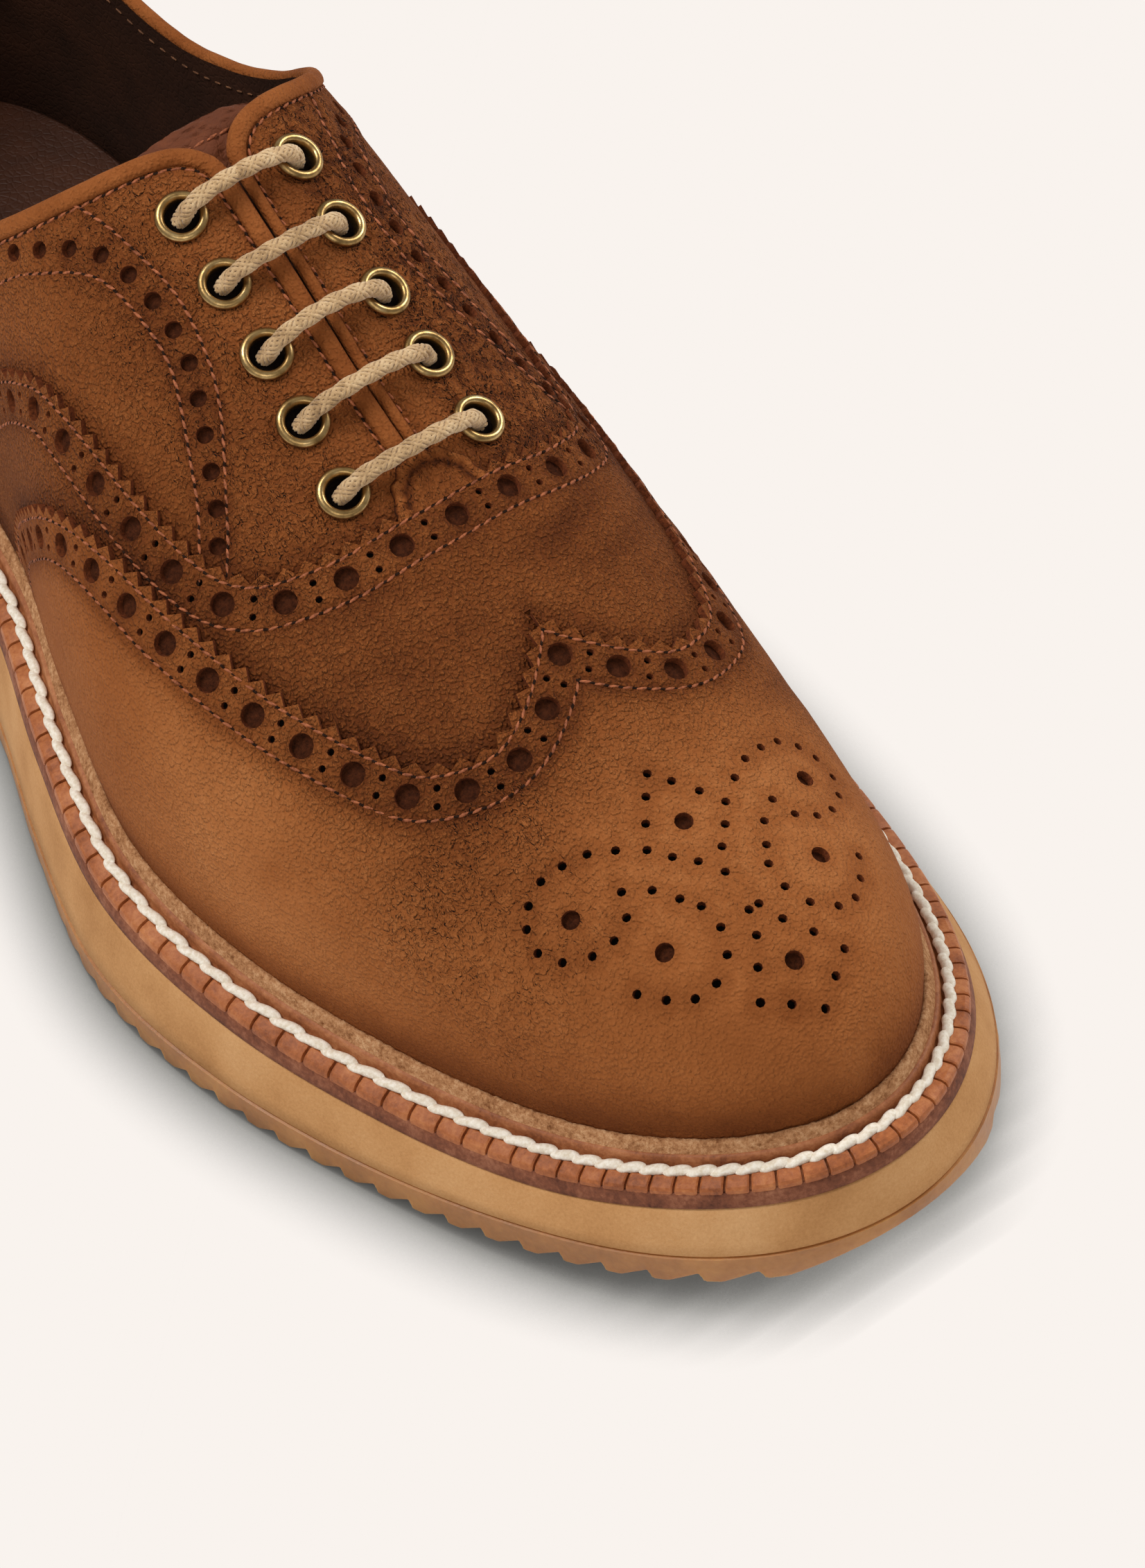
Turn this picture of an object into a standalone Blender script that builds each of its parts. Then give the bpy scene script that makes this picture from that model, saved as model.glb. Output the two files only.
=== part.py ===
"""Full brogue oxford for the right foot: a storm welted wing tip on a foam wedge with a ripple sole.

The toe points along -Y and the shoe's medial side lies on +X. All sizes are in metres.
The last is worked out from four sizes and one table, with a row for each section.
"""
import math

import bmesh
import bpy
import numpy as np
from mathutils.geometry import delaunay_2d_cdt

# Main sizes of the last
LAST_LENGTH = 0.288
BALL_WIDTH = 0.0967
INSTEP_HEIGHT = 0.0893
HEEL_HEIGHT = 0.037
TOE_ROUND = 0.0337
TOE_POWER = 2.3
SIDE_SWELL = 0.06
HEEL_SWELL = 0.0018
HEEL_LEAN = 0.0060
HEEL_REACH = 0.30

# Sole
WELT_THICK = 0.004
STORM_LIP_HIGH = 0.0046
RUBBER_THICK = 0.0059
TOE_SPRING = 0.009
SPRING_START = 0.78
SPRING_POWER = 1.52
TOOTH_PITCH = 0.0064
TOOTH_DEEP = 0.0024
TOOTH_FLAT = 0.0020
FRONT_TOOTH = 0.0045
TOOTH_FACE = 0.0005
TOE_BEVEL = 0.003
HEEL_TRIM = 0.7

# Upper
INNER = -0.0015
RIM = 0.0005
QUARTER = 0.0
EYESTAY = 0.0005
VAMP = 0.0009
TOE_CAP = 0.0014
GAP = 0.0003
TONGUE_TOP = -0.0020
TONGUE_THICK = 0.0020
TONGUE_START = 0.420
INSOLE_THICK = 0.0024
BAND_EDGE = 0.0057

# Lacing
EYELET_OUTER = 0.0043
EYELET_HOLE = 0.0029
EYELET_HIGH = 0.0008
LACE_RADIUS = 0.0014
LACE_OVER = 0.0035

# Mesh
HEIGHT_GRAIN = 0.00005
UPPER_STEP = 0.0072
EDGE_STEP = 0.0052
SOLE_STEPS = 46

# Sections from the heel to the toe, the last row lies ahead of the toe.
# station: share of the length. lateral, medial: fullness as a share of the ball width.
# waist: how far the medial foot is tucked in, share of the ball width.
# roof: height over the bed as a share of the instep height. bed: share of the heel height.
# crest: how far the ridge lies to the medial side, share of the ball width.
LAST_TABLE = (
    (0.0, 0.650, 0.649, 0.000, 1.252, 1.000, 0.000),
    (0.1, 0.483, 0.499, 0.000, 1.224, 0.986, 0.016),
    (0.2, 0.402, 0.435, 0.025, 1.176, 0.946, 0.030),
    (0.3, 0.375, 0.428, 0.065, 1.102, 0.881, 0.040),
    (0.4, 0.402, 0.427, 0.080, 1.000, 0.811, 0.043),
    (0.5, 0.495, 0.423, 0.050, 0.861, 0.762, 0.031),
    (0.6, 0.580, 0.440, 0.012, 0.723, 0.668, 0.016),
    (0.7, 0.591, 0.457, 0.000, 0.607, 0.576, 0.016),
    (0.8, 0.569, 0.489, 0.000, 0.487, 0.527, 0.011),
    (0.9, 0.557, 0.537, 0.000, 0.382, 0.562, 0.005),
    (1.0, 0.572, 0.571, 0.000, 0.293, 0.754, 0.004),
    (1.1, 0.587, 0.605, 0.000, 0.204, 0.897, 0.003),
)
STATION, LATERAL, MEDIAL, WAIST, ROOF, BED, CREST = range(7)

# Collar height over the bed behind the instep: station, share of the instep height.
REAR_TOP_LINE = (
    (0.00, 0.680),
    (0.05, 0.650),
    (0.10, 0.590),
    (0.15, 0.530),
    (0.20, 0.504),
    (0.25, 0.520),
    (0.30, 0.590),
    (0.35, 0.690),
)

# Top line and throat: station, distance over the leather from the ridge as a share of the ball width.
FRONT_TOP_LINE = (
    (0.239, 0.734),
    (0.273, 0.699),
    (0.306, 0.630),
    (0.336, 0.545),
    (0.370, 0.424),
    (0.393, 0.333),
    (0.411, 0.242),
    (0.421, 0.173),
    (0.428, 0.110),
    (0.434, 0.062),
    (0.443, 0.027),
    (0.456, 0.010),
    (0.500, 0.008),
    (0.640, 0.006),
)

# Edge of the wing cap, from its peak back to the welt.
CAP_EDGE = (
    (0.723, 0.000),
    (0.742, 0.056),
    (0.756, 0.111),
    (0.764, 0.168),
    (0.762, 0.212),
    (0.751, 0.274),
    (0.735, 0.310),
    (0.708, 0.353),
    (0.667, 0.405),
    (0.605, 0.459),
    (0.560, 0.498),
    (0.520, 0.552),
    (0.485, 0.630),
    (0.452, 0.744),
    (0.424, 0.856),
    (0.404, 0.985),
    (0.395, 1.120),
    (0.390, 1.400),
)

# Edge of the vamp, from under the last eyelets back to the welt.
VAMP_EDGE = (
    (0.6440, 0.000),
    (0.6435, 0.060),
    (0.6410, 0.178),
    (0.6360, 0.240),
    (0.6300, 0.286),
    (0.6235, 0.322),
    (0.6110, 0.356),
    (0.5920, 0.379),
    (0.5660, 0.399),
    (0.5390, 0.416),
    (0.5120, 0.431),
    (0.4850, 0.449),
    (0.4580, 0.477),
    (0.4360, 0.518),
    (0.4000, 0.618),
    (0.3600, 0.780),
    (0.3280, 0.960),
    (0.3000, 1.180),
    (0.2850, 1.500),
)

# Row of holes along the eyestay and the collar, from the vamp back to the heel.
BAND_LINE = (
    (0.616, 0.400),
    (0.600, 0.352),
    (0.584, 0.314),
    (0.569, 0.290),
    (0.552, 0.265),
    (0.537, 0.245),
    (0.522, 0.229),
    (0.504, 0.223),
    (0.487, 0.226),
    (0.468, 0.236),
    (0.451, 0.253),
    (0.436, 0.284),
    (0.421, 0.326),
    (0.410, 0.359),
    (0.398, 0.394),
    (0.370, 0.500),
    (0.336, 0.628),
)
BAND_DROP = 0.0085

# Eyelets: station, distance from the ridge as a share of the ball width.
EYELETS = (
    (0.464, 0.113),
    (0.504, 0.113),
    (0.544, 0.115),
    (0.581, 0.123),
    (0.621, 0.133),
)

# Edges of the sole outside the foot of the upper
LIP_INSIDE = 0.0010
LIP_OUTSIDE = 0.0021
CHANNEL = 0.0033
WELT_TOP_EDGE = 0.0075
WELT_EDGE = 0.0080
WELT_FOOT = 0.0088
FOAM_MIDDLE = 0.0104
FOAM_FOOT = 0.0119
RUBBER_FOOT = 0.0124


def mix(a, b, t):
    return a + (b - a) * t


def soft(t):
    t = np.clip(t, 0.0, 1.0)
    return t * t * (3.0 - 2.0 * t)


def table_curve(column, x):
    """Smooth curve through one column of the last table."""
    values = np.array([row[column] for row in LAST_TABLE])
    steps = np.asarray(x, float) / LAST_TABLE[1][STATION]
    cell = np.clip(np.floor(steps).astype(int), 0, len(values) - 2)
    t = steps - cell
    slopes = np.gradient(values)
    low, high = values[cell], values[cell + 1]
    s_low, s_high = slopes[cell], slopes[cell + 1]
    return ((2 * t**3 - 3 * t**2 + 1) * low + (t**3 - 2 * t**2 + t) * s_low
            + (3 * t**2 - 2 * t**3) * high + (t**3 - t**2) * s_high)


def bed_height(x):
    return HEEL_HEIGHT * table_curve(BED, np.clip(x, 0.0, 1.09))


def ground_height(x):
    rise = np.clip((x - SPRING_START) / (1.0 - SPRING_START), 0.0, None)
    return TOE_SPRING * rise**SPRING_POWER


def roof_height(x):
    u = np.clip((x * LAST_LENGTH - LAST_LENGTH + TOE_ROUND) / TOE_ROUND, 0.0, 1.0)
    return INSTEP_HEIGHT * table_curve(ROOF, x) * (1.0 - u**TOE_POWER) ** (1.0 / TOE_POWER)


def half_width(x, side):
    column = MEDIAL if side > 0 else LATERAL
    x = np.clip(x, 0.0, 1.0)
    return 2.0 * np.sqrt(x * (1.0 - x)) * BALL_WIDTH * table_curve(column, x)


def waist_tuck(x, side):
    return BALL_WIDTH * np.clip(table_curve(WAIST, x), 0.0, None) * (side > 0)


def heel_curve(x, over):
    """How far the back of the heel leans inward at a height over the bed."""
    swell = soft((over - 0.005) / 0.018) * (1.0 - soft((over - 0.030) / 0.030))
    lean = HEEL_LEAN * soft((over - 0.026) / 0.044) - HEEL_SWELL * swell
    return lean * np.clip(1.0 - x / HEEL_REACH, 0.0, None) ** 2


def section_point(x, turn, side):
    """Point of the last at a station, turn 0 on the ridge and a quarter turn on the foot."""
    x, turn = np.broadcast_arrays(np.asarray(x, float), np.asarray(turn, float))
    side_power = 2.0 / (2.62 - 0.36 * x)
    roof_power = 2.0 / (2.6 - 0.4 * x)
    out = np.sin(turn) ** side_power + SIDE_SWELL * np.sin(2 * turn) ** 2 * np.sin(turn)
    up = np.clip(np.cos(turn), 0.0, 1.0) ** roof_power
    medial, lateral = half_width(x, 1), half_width(x, -1)
    middle = (medial - lateral) / 2
    crest = BALL_WIDTH * table_curve(CREST, x)
    ridge = middle + (crest - middle) * np.clip((medial + lateral) / 0.06, 0.0, 1.0)
    edge = side * np.where(side > 0, medial, lateral)
    across = ridge + (edge - ridge) * out
    across -= side * waist_tuck(x, side) * soft((turn - 0.9) / (math.pi / 2 - 0.9))
    over = roof_height(x) * up
    along = -x * LAST_LENGTH - heel_curve(x, over)
    return np.stack([across, along, bed_height(x) + over], -1)


def foot_outline(side, out):
    """Dense outline of the foot of the last, moved outward, from the heel to the toe."""
    x = (1.0 - np.cos(np.linspace(0.0, math.pi, 1601))) / 2
    across = side * (half_width(x, side) - waist_tuck(x, side))
    line = np.stack([across, -x * LAST_LENGTH], -1)
    along = np.gradient(line, axis=0)
    along[0] = (side, 0.0)
    along[-1] = (-side, 0.0)
    along /= np.linalg.norm(along, axis=1)[:, None]
    normal = np.stack([-along[:, 1], along[:, 0]], -1) * side
    reach = out * mix(HEEL_TRIM, 1.0, soft(x / 0.2)) if out > LIP_OUTSIDE else out
    return line + normal * np.broadcast_to(reach, x.shape)[:, None]


def frame_shift():
    """Moves the shoe so that its outline is centred on the origin."""
    lateral, medial = foot_outline(-1, RUBBER_FOOT), foot_outline(1, RUBBER_FOOT)
    both = np.concatenate([lateral, medial])
    middle = (both.min(axis=0) + both.max(axis=0)) / 2
    return np.array([-middle[0], -middle[1], 0.0])


SHIFT = frame_shift()


class LastChart:
    """Flat chart of the last: p runs round the outline from the heel, q is the way from the ridge."""

    STEPS = 361
    CELLS = 240

    def __init__(self):
        self.x = (1.0 - np.cos(np.linspace(0.0, math.pi, self.STEPS))) / 2
        middle = (half_width(self.x, 1) + half_width(self.x, -1)) / 2
        run = np.hypot(np.diff(middle), np.diff(self.x) * LAST_LENGTH)
        self.p = np.concatenate([[0.0], np.cumsum(run)])
        turns = math.pi / 2 * (1.0 - np.cos(np.linspace(0.0, math.pi, 241))) / 2
        shares = np.linspace(0.0, 1.0, self.CELLS + 1)
        self.girth, self.turn = {}, {}
        for side in (-1, 1):
            points = section_point(self.x[:, None], turns[None, :], side)
            steps = np.linalg.norm(np.diff(points, axis=1), axis=2)
            arc = np.concatenate([np.zeros((self.STEPS, 1)), np.cumsum(steps, axis=1)], axis=1)
            self.girth[side] = arc[:, -1]
            rows = [np.interp(shares, a / max(a[-1], 1e-9), turns) for a in arc[:-1]]
            rows.append(rows[-1])
            self.turn[side] = np.array(rows)

    def p_of(self, x):
        return np.interp(x, self.x, self.p)

    def x_of(self, p):
        return np.interp(p, self.p, self.x)

    def girth_at(self, p, side):
        return np.interp(p, self.p, self.girth[side])

    def base(self, p, q):
        """Points of the last for arrays of chart coordinates."""
        p, q = np.broadcast_arrays(np.asarray(p, float), np.asarray(q, float))
        p = np.clip(p, 0.0, self.p[-1])
        x = self.x_of(p)
        row = np.clip(np.searchsorted(self.p, p, side="right") - 1, 0, self.STEPS - 2)
        t = (p - self.p[row]) / (self.p[row + 1] - self.p[row])
        result = np.zeros(p.shape + (3,))
        for side in (-1, 1):
            pick = (q >= 0) if side > 0 else (q < 0)
            girth = np.maximum(np.interp(p, self.p, self.girth[side]), 1e-9)
            share = np.clip(np.abs(q) / girth, 0.0, 1.0) * self.CELLS
            cell = np.clip(share.astype(int), 0, self.CELLS - 1)
            f = share - cell
            turn = self.turn[side]
            near = mix(turn[row, cell], turn[row, cell + 1], f)
            far = mix(turn[row + 1, cell], turn[row + 1, cell + 1], f)
            points = section_point(x, mix(near, far, t), side)
            result[pick] = points[pick]
        return result

    def normal(self, p, q):
        step = 0.0004
        p, q = np.broadcast_arrays(np.asarray(p, float), np.asarray(q, float))
        seam = p < 1e-7
        q = np.where(seam, np.abs(q), q)
        limit = np.where(q >= 0, self.girth_at(p, 1), self.girth_at(p, -1))
        q = np.clip(q, -limit, limit)
        across = self.base(p, np.minimum(q + step, self.girth_at(p, 1)))
        across = across - self.base(p, np.maximum(q - step, -self.girth_at(p, -1)))
        along = self.base(np.minimum(p + step, self.p[-1]), q) - self.base(np.maximum(p - step, 0.0), q)
        n = np.cross(along, across)
        n[seam, 0] = 0.0
        size = np.linalg.norm(n, axis=-1)
        tip = size < 1e-12
        n[tip] = (0.0, -1.0, 0.0)
        n[~tip] /= size[~tip][:, None]
        return n

    def point(self, p, q, height):
        """World points at a height over the last."""
        height = np.broadcast_to(np.asarray(height, float), np.shape(p))
        return self.base(p, q) + self.normal(p, q) * height[..., None] + SHIFT

    def reach_at_height(self, x, side, height):
        turns = np.linspace(0.02, math.pi / 2, 300)
        points = section_point(x, turns, side)
        over = points[:, 2] - bed_height(x)
        steps = np.linalg.norm(np.diff(points, axis=0), axis=1)
        first = np.linalg.norm(points[0] - section_point(x, 0.0, side))
        arc = first + np.concatenate([[0.0], np.cumsum(steps)])
        return float(np.interp(-height, -over, arc))


CHART = LastChart()


def smooth_line(points, per_span=8):
    """Catmull-Rom curve through flat points."""
    pts = np.asarray(points, float)
    slopes = np.gradient(pts, axis=0)
    result = []
    for i in range(len(pts) - 1):
        for t in np.linspace(0.0, 1.0, per_span, endpoint=False):
            result.append((2 * t**3 - 3 * t**2 + 1) * pts[i] + (t**3 - 2 * t**2 + t) * slopes[i]
                          + (3 * t**2 - 2 * t**3) * pts[i + 1] + (t**3 - t**2) * slopes[i + 1])
    result.append(pts[-1])
    return np.array(result)


def even_line(points, step):
    """The same line with even steps."""
    runs = np.linalg.norm(np.diff(points, axis=0), axis=1)
    along = np.concatenate([[0.0], np.cumsum(runs)])
    count = max(int(round(along[-1] / step)), 1)
    marks = np.linspace(0.0, along[-1], count + 1)
    return np.stack([np.interp(marks, along, points[:, k]) for k in range(2)], -1)


def chart_line(rows, side):
    """Table rows as a smooth line in the chart, cut where it meets the foot."""
    flat = [(CHART.p_of(x), side * reach * BALL_WIDTH) for x, reach in rows]
    line = smooth_line(flat)
    over = np.abs(line[:, 1]) - CHART.girth_at(line[:, 0], side)
    past = np.nonzero(over >= 0)[0]
    if len(past) == 0:
        return line
    i = past[0]
    t = over[i - 1] / (over[i - 1] - over[i])
    end = mix(line[i - 1], line[i], t)
    end[1] = side * CHART.girth_at(end[0], side)
    return np.vstack([line[:i], end])


def rear_reach(x, side):
    stations = [row[0] for row in REAR_TOP_LINE]
    heights = [row[1] for row in REAR_TOP_LINE]
    return CHART.reach_at_height(x, side, INSTEP_HEIGHT * float(np.interp(x, stations, heights)))


def top_line(side):
    """Collar from the heel seam, round the top of the facing and down the throat."""
    front = [(x, reach * BALL_WIDTH) for x, reach in FRONT_TOP_LINE]
    stations = [row[0] for row in front]
    line = []
    for x in np.concatenate([[0.0, 0.003, 0.01, 0.022, 0.04], np.arange(0.065, 0.33, 0.025)]):
        share = soft((x - 0.24) / 0.08)
        reach = mix(rear_reach(x, side), float(np.interp(x, stations, [row[1] for row in front])), share)
        line.append((float(CHART.p_of(x)), side * reach))
    line += [(float(CHART.p_of(x)), side * reach) for x, reach in front if x > 0.33]
    return smooth_line(line, 6)


def band_line(side, shift):
    """Row of holes of the eyestay and collar, moved away from the opening by shift."""
    collar = top_line(side)
    line = [(float(CHART.p_of(x)), side * reach * BALL_WIDTH) for x, reach in BAND_LINE]
    for x in np.arange(0.30, -0.01, -0.03):
        p = float(CHART.p_of(max(x, 0.0)))
        above = np.interp(p, collar[:120, 0], np.abs(collar[:120, 1]))
        line.append((p, side * (above + BAND_DROP)))
    line = smooth_line(line)
    along = np.gradient(line, axis=0)
    along /= np.linalg.norm(along, axis=1)[:, None]
    away = np.stack([along[:, 1], -along[:, 0]], -1) * side
    moved = line + away * shift
    moved[-1] = (0.0, side * (rear_reach(0.0, 1) + BAND_DROP + shift))
    return moved


def inside(points, loop):
    """Which flat points lie inside a closed line."""
    a, b = loop, np.roll(loop, -1, axis=0)
    x, y = points[:, 0][:, None], points[:, 1][:, None]
    crosses = (a[:, 1] > y) != (b[:, 1] > y)
    rise = np.where(np.abs(b[:, 1] - a[:, 1]) < 1e-15, 1e-15, b[:, 1] - a[:, 1])
    left = x < (b[:, 0] - a[:, 0]) * (y - a[:, 1]) / rise + a[:, 0]
    return (crosses & left).sum(axis=1) % 2 == 1


def foot_line(side, step):
    line = np.stack([CHART.p, side * CHART.girth[side]], -1)
    line[-1, 1] = 0.0
    return even_line(line, step)


def circle(p, q, radius, count):
    turns = np.arange(count) * 2 * math.pi / count
    return np.stack([p + radius * np.cos(turns), q + radius * np.sin(turns)], -1)


def eyelet_spots(side):
    return [(float(CHART.p_of(x)), side * reach * BALL_WIDTH) for x, reach in EYELETS]


def away_from(points, lines, gap):
    """Keeps the points that are clear of all the lines."""
    keep = np.ones(len(points), bool)
    for line in lines:
        a, b = line[:-1], line[1:]
        ab = b - a
        t = ((points[:, None] - a) * ab).sum(-1) / np.maximum((ab**2).sum(-1), 1e-12)
        near = a + np.clip(t, 0.0, 1.0)[..., None] * ab
        keep &= np.linalg.norm(points[:, None] - near, axis=-1).min(axis=1) > gap
    return points[keep]


def add_object(name, bm, material):
    bmesh.ops.recalc_face_normals(bm, faces=bm.faces)
    mesh = bpy.data.meshes.new(name)
    bm.to_mesh(mesh)
    bm.free()
    mesh.materials.append(material)
    obj = bpy.data.objects.new(name, mesh)
    bpy.context.scene.collection.objects.link(obj)
    return obj


def smooth_by_angle(bm, degrees):
    for face in bm.faces:
        face.smooth = True
    for edge in bm.edges:
        if len(edge.link_faces) == 2:
            edge.smooth = edge.calc_face_angle(0.0) < math.radians(degrees)


def make_material(name, colour, rough, metal=0.0):
    material = bpy.data.materials.new(name)
    material.use_nodes = True
    shader = material.node_tree.nodes["Principled BSDF"]
    shader.inputs["Base Color"].default_value = (*colour, 1.0)
    shader.inputs["Roughness"].default_value = rough
    shader.inputs["Metallic"].default_value = metal
    return material


def upper_lines():
    """Outline, inner lines and closed panel shapes of the upper in the chart."""
    outline, folds, shapes = [], [], {"cap": [], "vamp": [], "eyestay": []}
    tip = np.array([[CHART.p[-1], 0.0]])
    for side in (-1, 1):
        top = top_line(side)
        foot = foot_line(side, EDGE_STEP)
        seam_end = np.array([0.0, foot[0, 1]])
        seam = even_line(np.array([seam_end, top[0]]), EDGE_STEP)
        outline += [foot, seam, even_line(top, EDGE_STEP)]
        throat = top[-1]
        outline.append(np.array([throat, [throat[0], 0.0]]))
        cap = even_line(chart_line(CAP_EDGE, side), EDGE_STEP)
        vamp = even_line(chart_line(VAMP_EDGE, side), EDGE_STEP)
        band = even_line(band_line(side, BAND_EDGE), EDGE_STEP)
        folds += [cap, vamp, band]
        ridge_end = np.array([[CHART.p[-1] + 0.01, 0.0]])
        corner = np.array([[CHART.p[-1] + 0.01, side * 0.2]])
        for key, line in (("cap", cap), ("vamp", vamp)):
            down = np.array([[line[-1, 0], side * 0.2]])
            shapes[key].append(np.vstack([line, down, corner, ridge_end]))
        ahead = float(CHART.p_of(0.67))
        behind = np.array([[-0.01, band[-1, 1]], [-0.01, 0.0], [ahead, 0.0], [ahead, band[0, 1]]])
        shapes["eyestay"].append(np.vstack([band, behind]))
    outline[0][-1] = tip
    outline[4][-1] = tip
    return outline, folds, shapes


def upper_net():
    """Triangles of the upper in the chart and the panel level of each."""
    outline, folds, shapes = upper_lines()
    rings = [circle(p, q, EYELET_HOLE, 10) for side in (-1, 1) for p, q in eyelet_spots(side)]
    fixed = [np.vstack([r, r[:1]]) for r in rings]
    points, edges = [], []
    for line in outline + folds + fixed:
        start = len(points)
        points += [tuple(v) for v in line]
        edges += [(start + i, start + i + 1) for i in range(len(line) - 1)]
    p_marks = np.arange(0.0, CHART.p[-1], UPPER_STEP * 0.866)
    grid = []
    for row, p in enumerate(p_marks):
        shift = UPPER_STEP / 2 * (row % 2)
        grid += [(p, q + shift) for q in np.arange(-0.15, 0.15, UPPER_STEP)]
    grid = np.array(grid)
    low = -CHART.girth_at(grid[:, 0], -1)
    high = CHART.girth_at(grid[:, 0], 1)
    grid = grid[(grid[:, 1] > low) & (grid[:, 1] < high) & (grid[:, 0] > 0.0)]
    grid = away_from(grid, outline + folds + fixed, UPPER_STEP * 0.42)
    points += [tuple(v) for v in grid]
    result = delaunay_2d_cdt([(float(a), float(b)) for a, b in points], edges, [], 0, 1e-7)
    flat = np.array([(v[0], v[1]) for v in result[0]])
    triangles = [tuple(face) for face in result[2]]
    centres = np.array([flat[list(t)].mean(axis=0) for t in triangles])
    right, left = outline[0:3], outline[4:7]
    shell = np.vstack([right[0][::-1], right[1][1:], right[2][1:], left[2][::-1], left[1][::-1], left[0]])
    keep = inside(centres, shell)
    for ring in rings:
        keep &= ~inside(centres, ring)
    level = np.full(len(centres), QUARTER)
    for key, height in (("eyestay", EYESTAY), ("vamp", VAMP), ("cap", TOE_CAP)):
        for shape in shapes[key]:
            level[inside(centres, shape)] = height
    return flat, [t for t, k in zip(triangles, keep) if k], level[keep]


def level_at_foot(flat, level):
    """Panel steps fade out just over the welt."""
    side_girth = np.where(flat[:, 1] >= 0, CHART.girth_at(flat[:, 0], 1), CHART.girth_at(flat[:, 0], -1))
    share = soft((side_girth - np.abs(flat[:, 1]) - 0.006) / 0.008)
    return mix(RIM, level, share)


def wall(bm, low, high):
    """Triangles between two upright rows of vertices."""
    i = j = 0
    while i < len(low) - 1 or j < len(high) - 1:
        take_low = j == len(high) - 1 or (i < len(low) - 1 and i <= j)
        if take_low:
            bm.faces.new((low[i], low[i + 1], high[j]))
            i += 1
        else:
            bm.faces.new((low[i], high[j + 1], high[j]))
            j += 1


def build_upper(material):
    flat, triangles, levels = upper_net()
    count = len(flat)
    heights = [dict() for _ in range(count)]
    faces, sides = [], {}
    for triangle, level in zip(triangles, levels):
        spot = level_at_foot(flat[list(triangle)], level)
        keys = [int(round(h / HEIGHT_GRAIN)) for h in spot]
        for i, key in zip(triangle, keys):
            heights[i][key] = None
        faces.append(keys)
        for k in range(3):
            a, b = triangle[k], triangle[(k + 1) % 3]
            sides.setdefault((min(a, b), max(a, b)), []).append({a: keys[k], b: keys[(k + 1) % 3]})
    bm = bmesh.new()
    inner_key = int(round(INNER / HEIGHT_GRAIN))
    used = [i for i in range(count) if heights[i]]
    for i in used:
        heights[i][inner_key] = None
    jobs = [(i, key) for i in used for key in heights[i]]
    p = np.array([flat[i, 0] for i, _ in jobs])
    q = np.array([flat[i, 1] for i, _ in jobs])
    world = CHART.point(p, q, np.array([key * HEIGHT_GRAIN for _, key in jobs]))
    for (i, key), position in zip(jobs, world):
        heights[i][key] = bm.verts.new(position)
    columns = [[heights[i][key] for key in sorted(heights[i])] for i in range(count)]
    order = [sorted(heights[i]) for i in range(count)]
    for triangle, keys in zip(triangles, faces):
        bm.faces.new([heights[i][key] for i, key in zip(triangle, keys)])
        bm.faces.new([heights[i][inner_key] for i in reversed(triangle)])
    for (a, b), users in sides.items():
        if len(users) == 1:
            if max(flat[a, 0], flat[b, 0]) < 1e-7:
                continue
            low_a, low_b = 0, 0
            high_a, high_b = order[a].index(users[0][a]), order[b].index(users[0][b])
        else:
            ends_a = sorted(order[a].index(u[a]) for u in users)
            ends_b = sorted(order[b].index(u[b]) for u in users)
            if ends_a[0] == ends_a[1] and ends_b[0] == ends_b[1]:
                continue
            low_a, high_a = ends_a
            low_b, high_b = ends_b
        wall(bm, columns[a][low_a:high_a + 1], columns[b][low_b:high_b + 1])
    bmesh.ops.remove_doubles(bm, verts=bm.verts, dist=0.00001)
    smooth_by_angle(bm, 50)
    return add_object("upper", bm, material)


def ring_points(out, height, shares):
    """Closed ring round the outline, with the same stations on both sides."""
    right, left = foot_outline(-1, out), foot_outline(1, out)
    y = mix(right[0, 1], right[-1, 1], shares)
    z = height(-y / LAST_LENGTH)
    a = np.interp(-y, -right[:, 1], right[:, 0])
    b = np.interp(-y, -left[:, 1], left[:, 0])
    lateral = np.stack([a, y, z], -1)
    medial = np.stack([b, y, z], -1)
    return np.vstack([lateral, medial[-2:0:-1]]) + SHIFT


def even_shares(count):
    return (1.0 - np.cos(np.linspace(0.0, math.pi, count + 1))) / 2


def build_plate(name, rings, shares, material, angle=35):
    """Closed solid through rings listed from the top centre outward and down to the bottom."""
    bm = bmesh.new()
    n = len(shares)
    rows = [[bm.verts.new(v) for v in ring_points(out, height, shares)] for out, height in rings]
    size = len(rows[0])
    for upper_row, lower_row in zip(rows, rows[1:]):
        for i in range(size):
            j = (i + 1) % size
            bm.faces.new((upper_row[i], upper_row[j], lower_row[j], lower_row[i]))
    for row, turn in ((rows[0], -1), (rows[-1], 1)):
        for i in range(n - 1):
            a, b = row[i], row[i + 1]
            c, d = row[-(i + 1)] if i + 1 < n - 1 else row[i + 1], row[-i] if i else row[0]
            corners = list(dict.fromkeys((a, b, c, d)))
            bm.faces.new(corners[::turn])
    smooth_by_angle(bm, angle)
    return add_object(name, bm, material)


def build_welt(material):
    def over(rise):
        return lambda x: bed_height(x) + rise
    rings = (
        (LIP_INSIDE, over(-0.0004)),
        (LIP_INSIDE, over(STORM_LIP_HIGH)),
        (LIP_OUTSIDE, over(STORM_LIP_HIGH)),
        (CHANNEL, over(0.0008)),
        (WELT_TOP_EDGE, over(0.0002)),
        (WELT_EDGE, over(-0.0006)),
        (WELT_FOOT, over(-WELT_THICK)),
    )
    return build_plate("welt", rings, even_shares(SOLE_STEPS), material)


def foam_foot(x):
    return ground_height(x) + RUBBER_THICK + GAP / 2


def foam_head(x):
    return bed_height(x) - WELT_THICK - GAP


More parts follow.
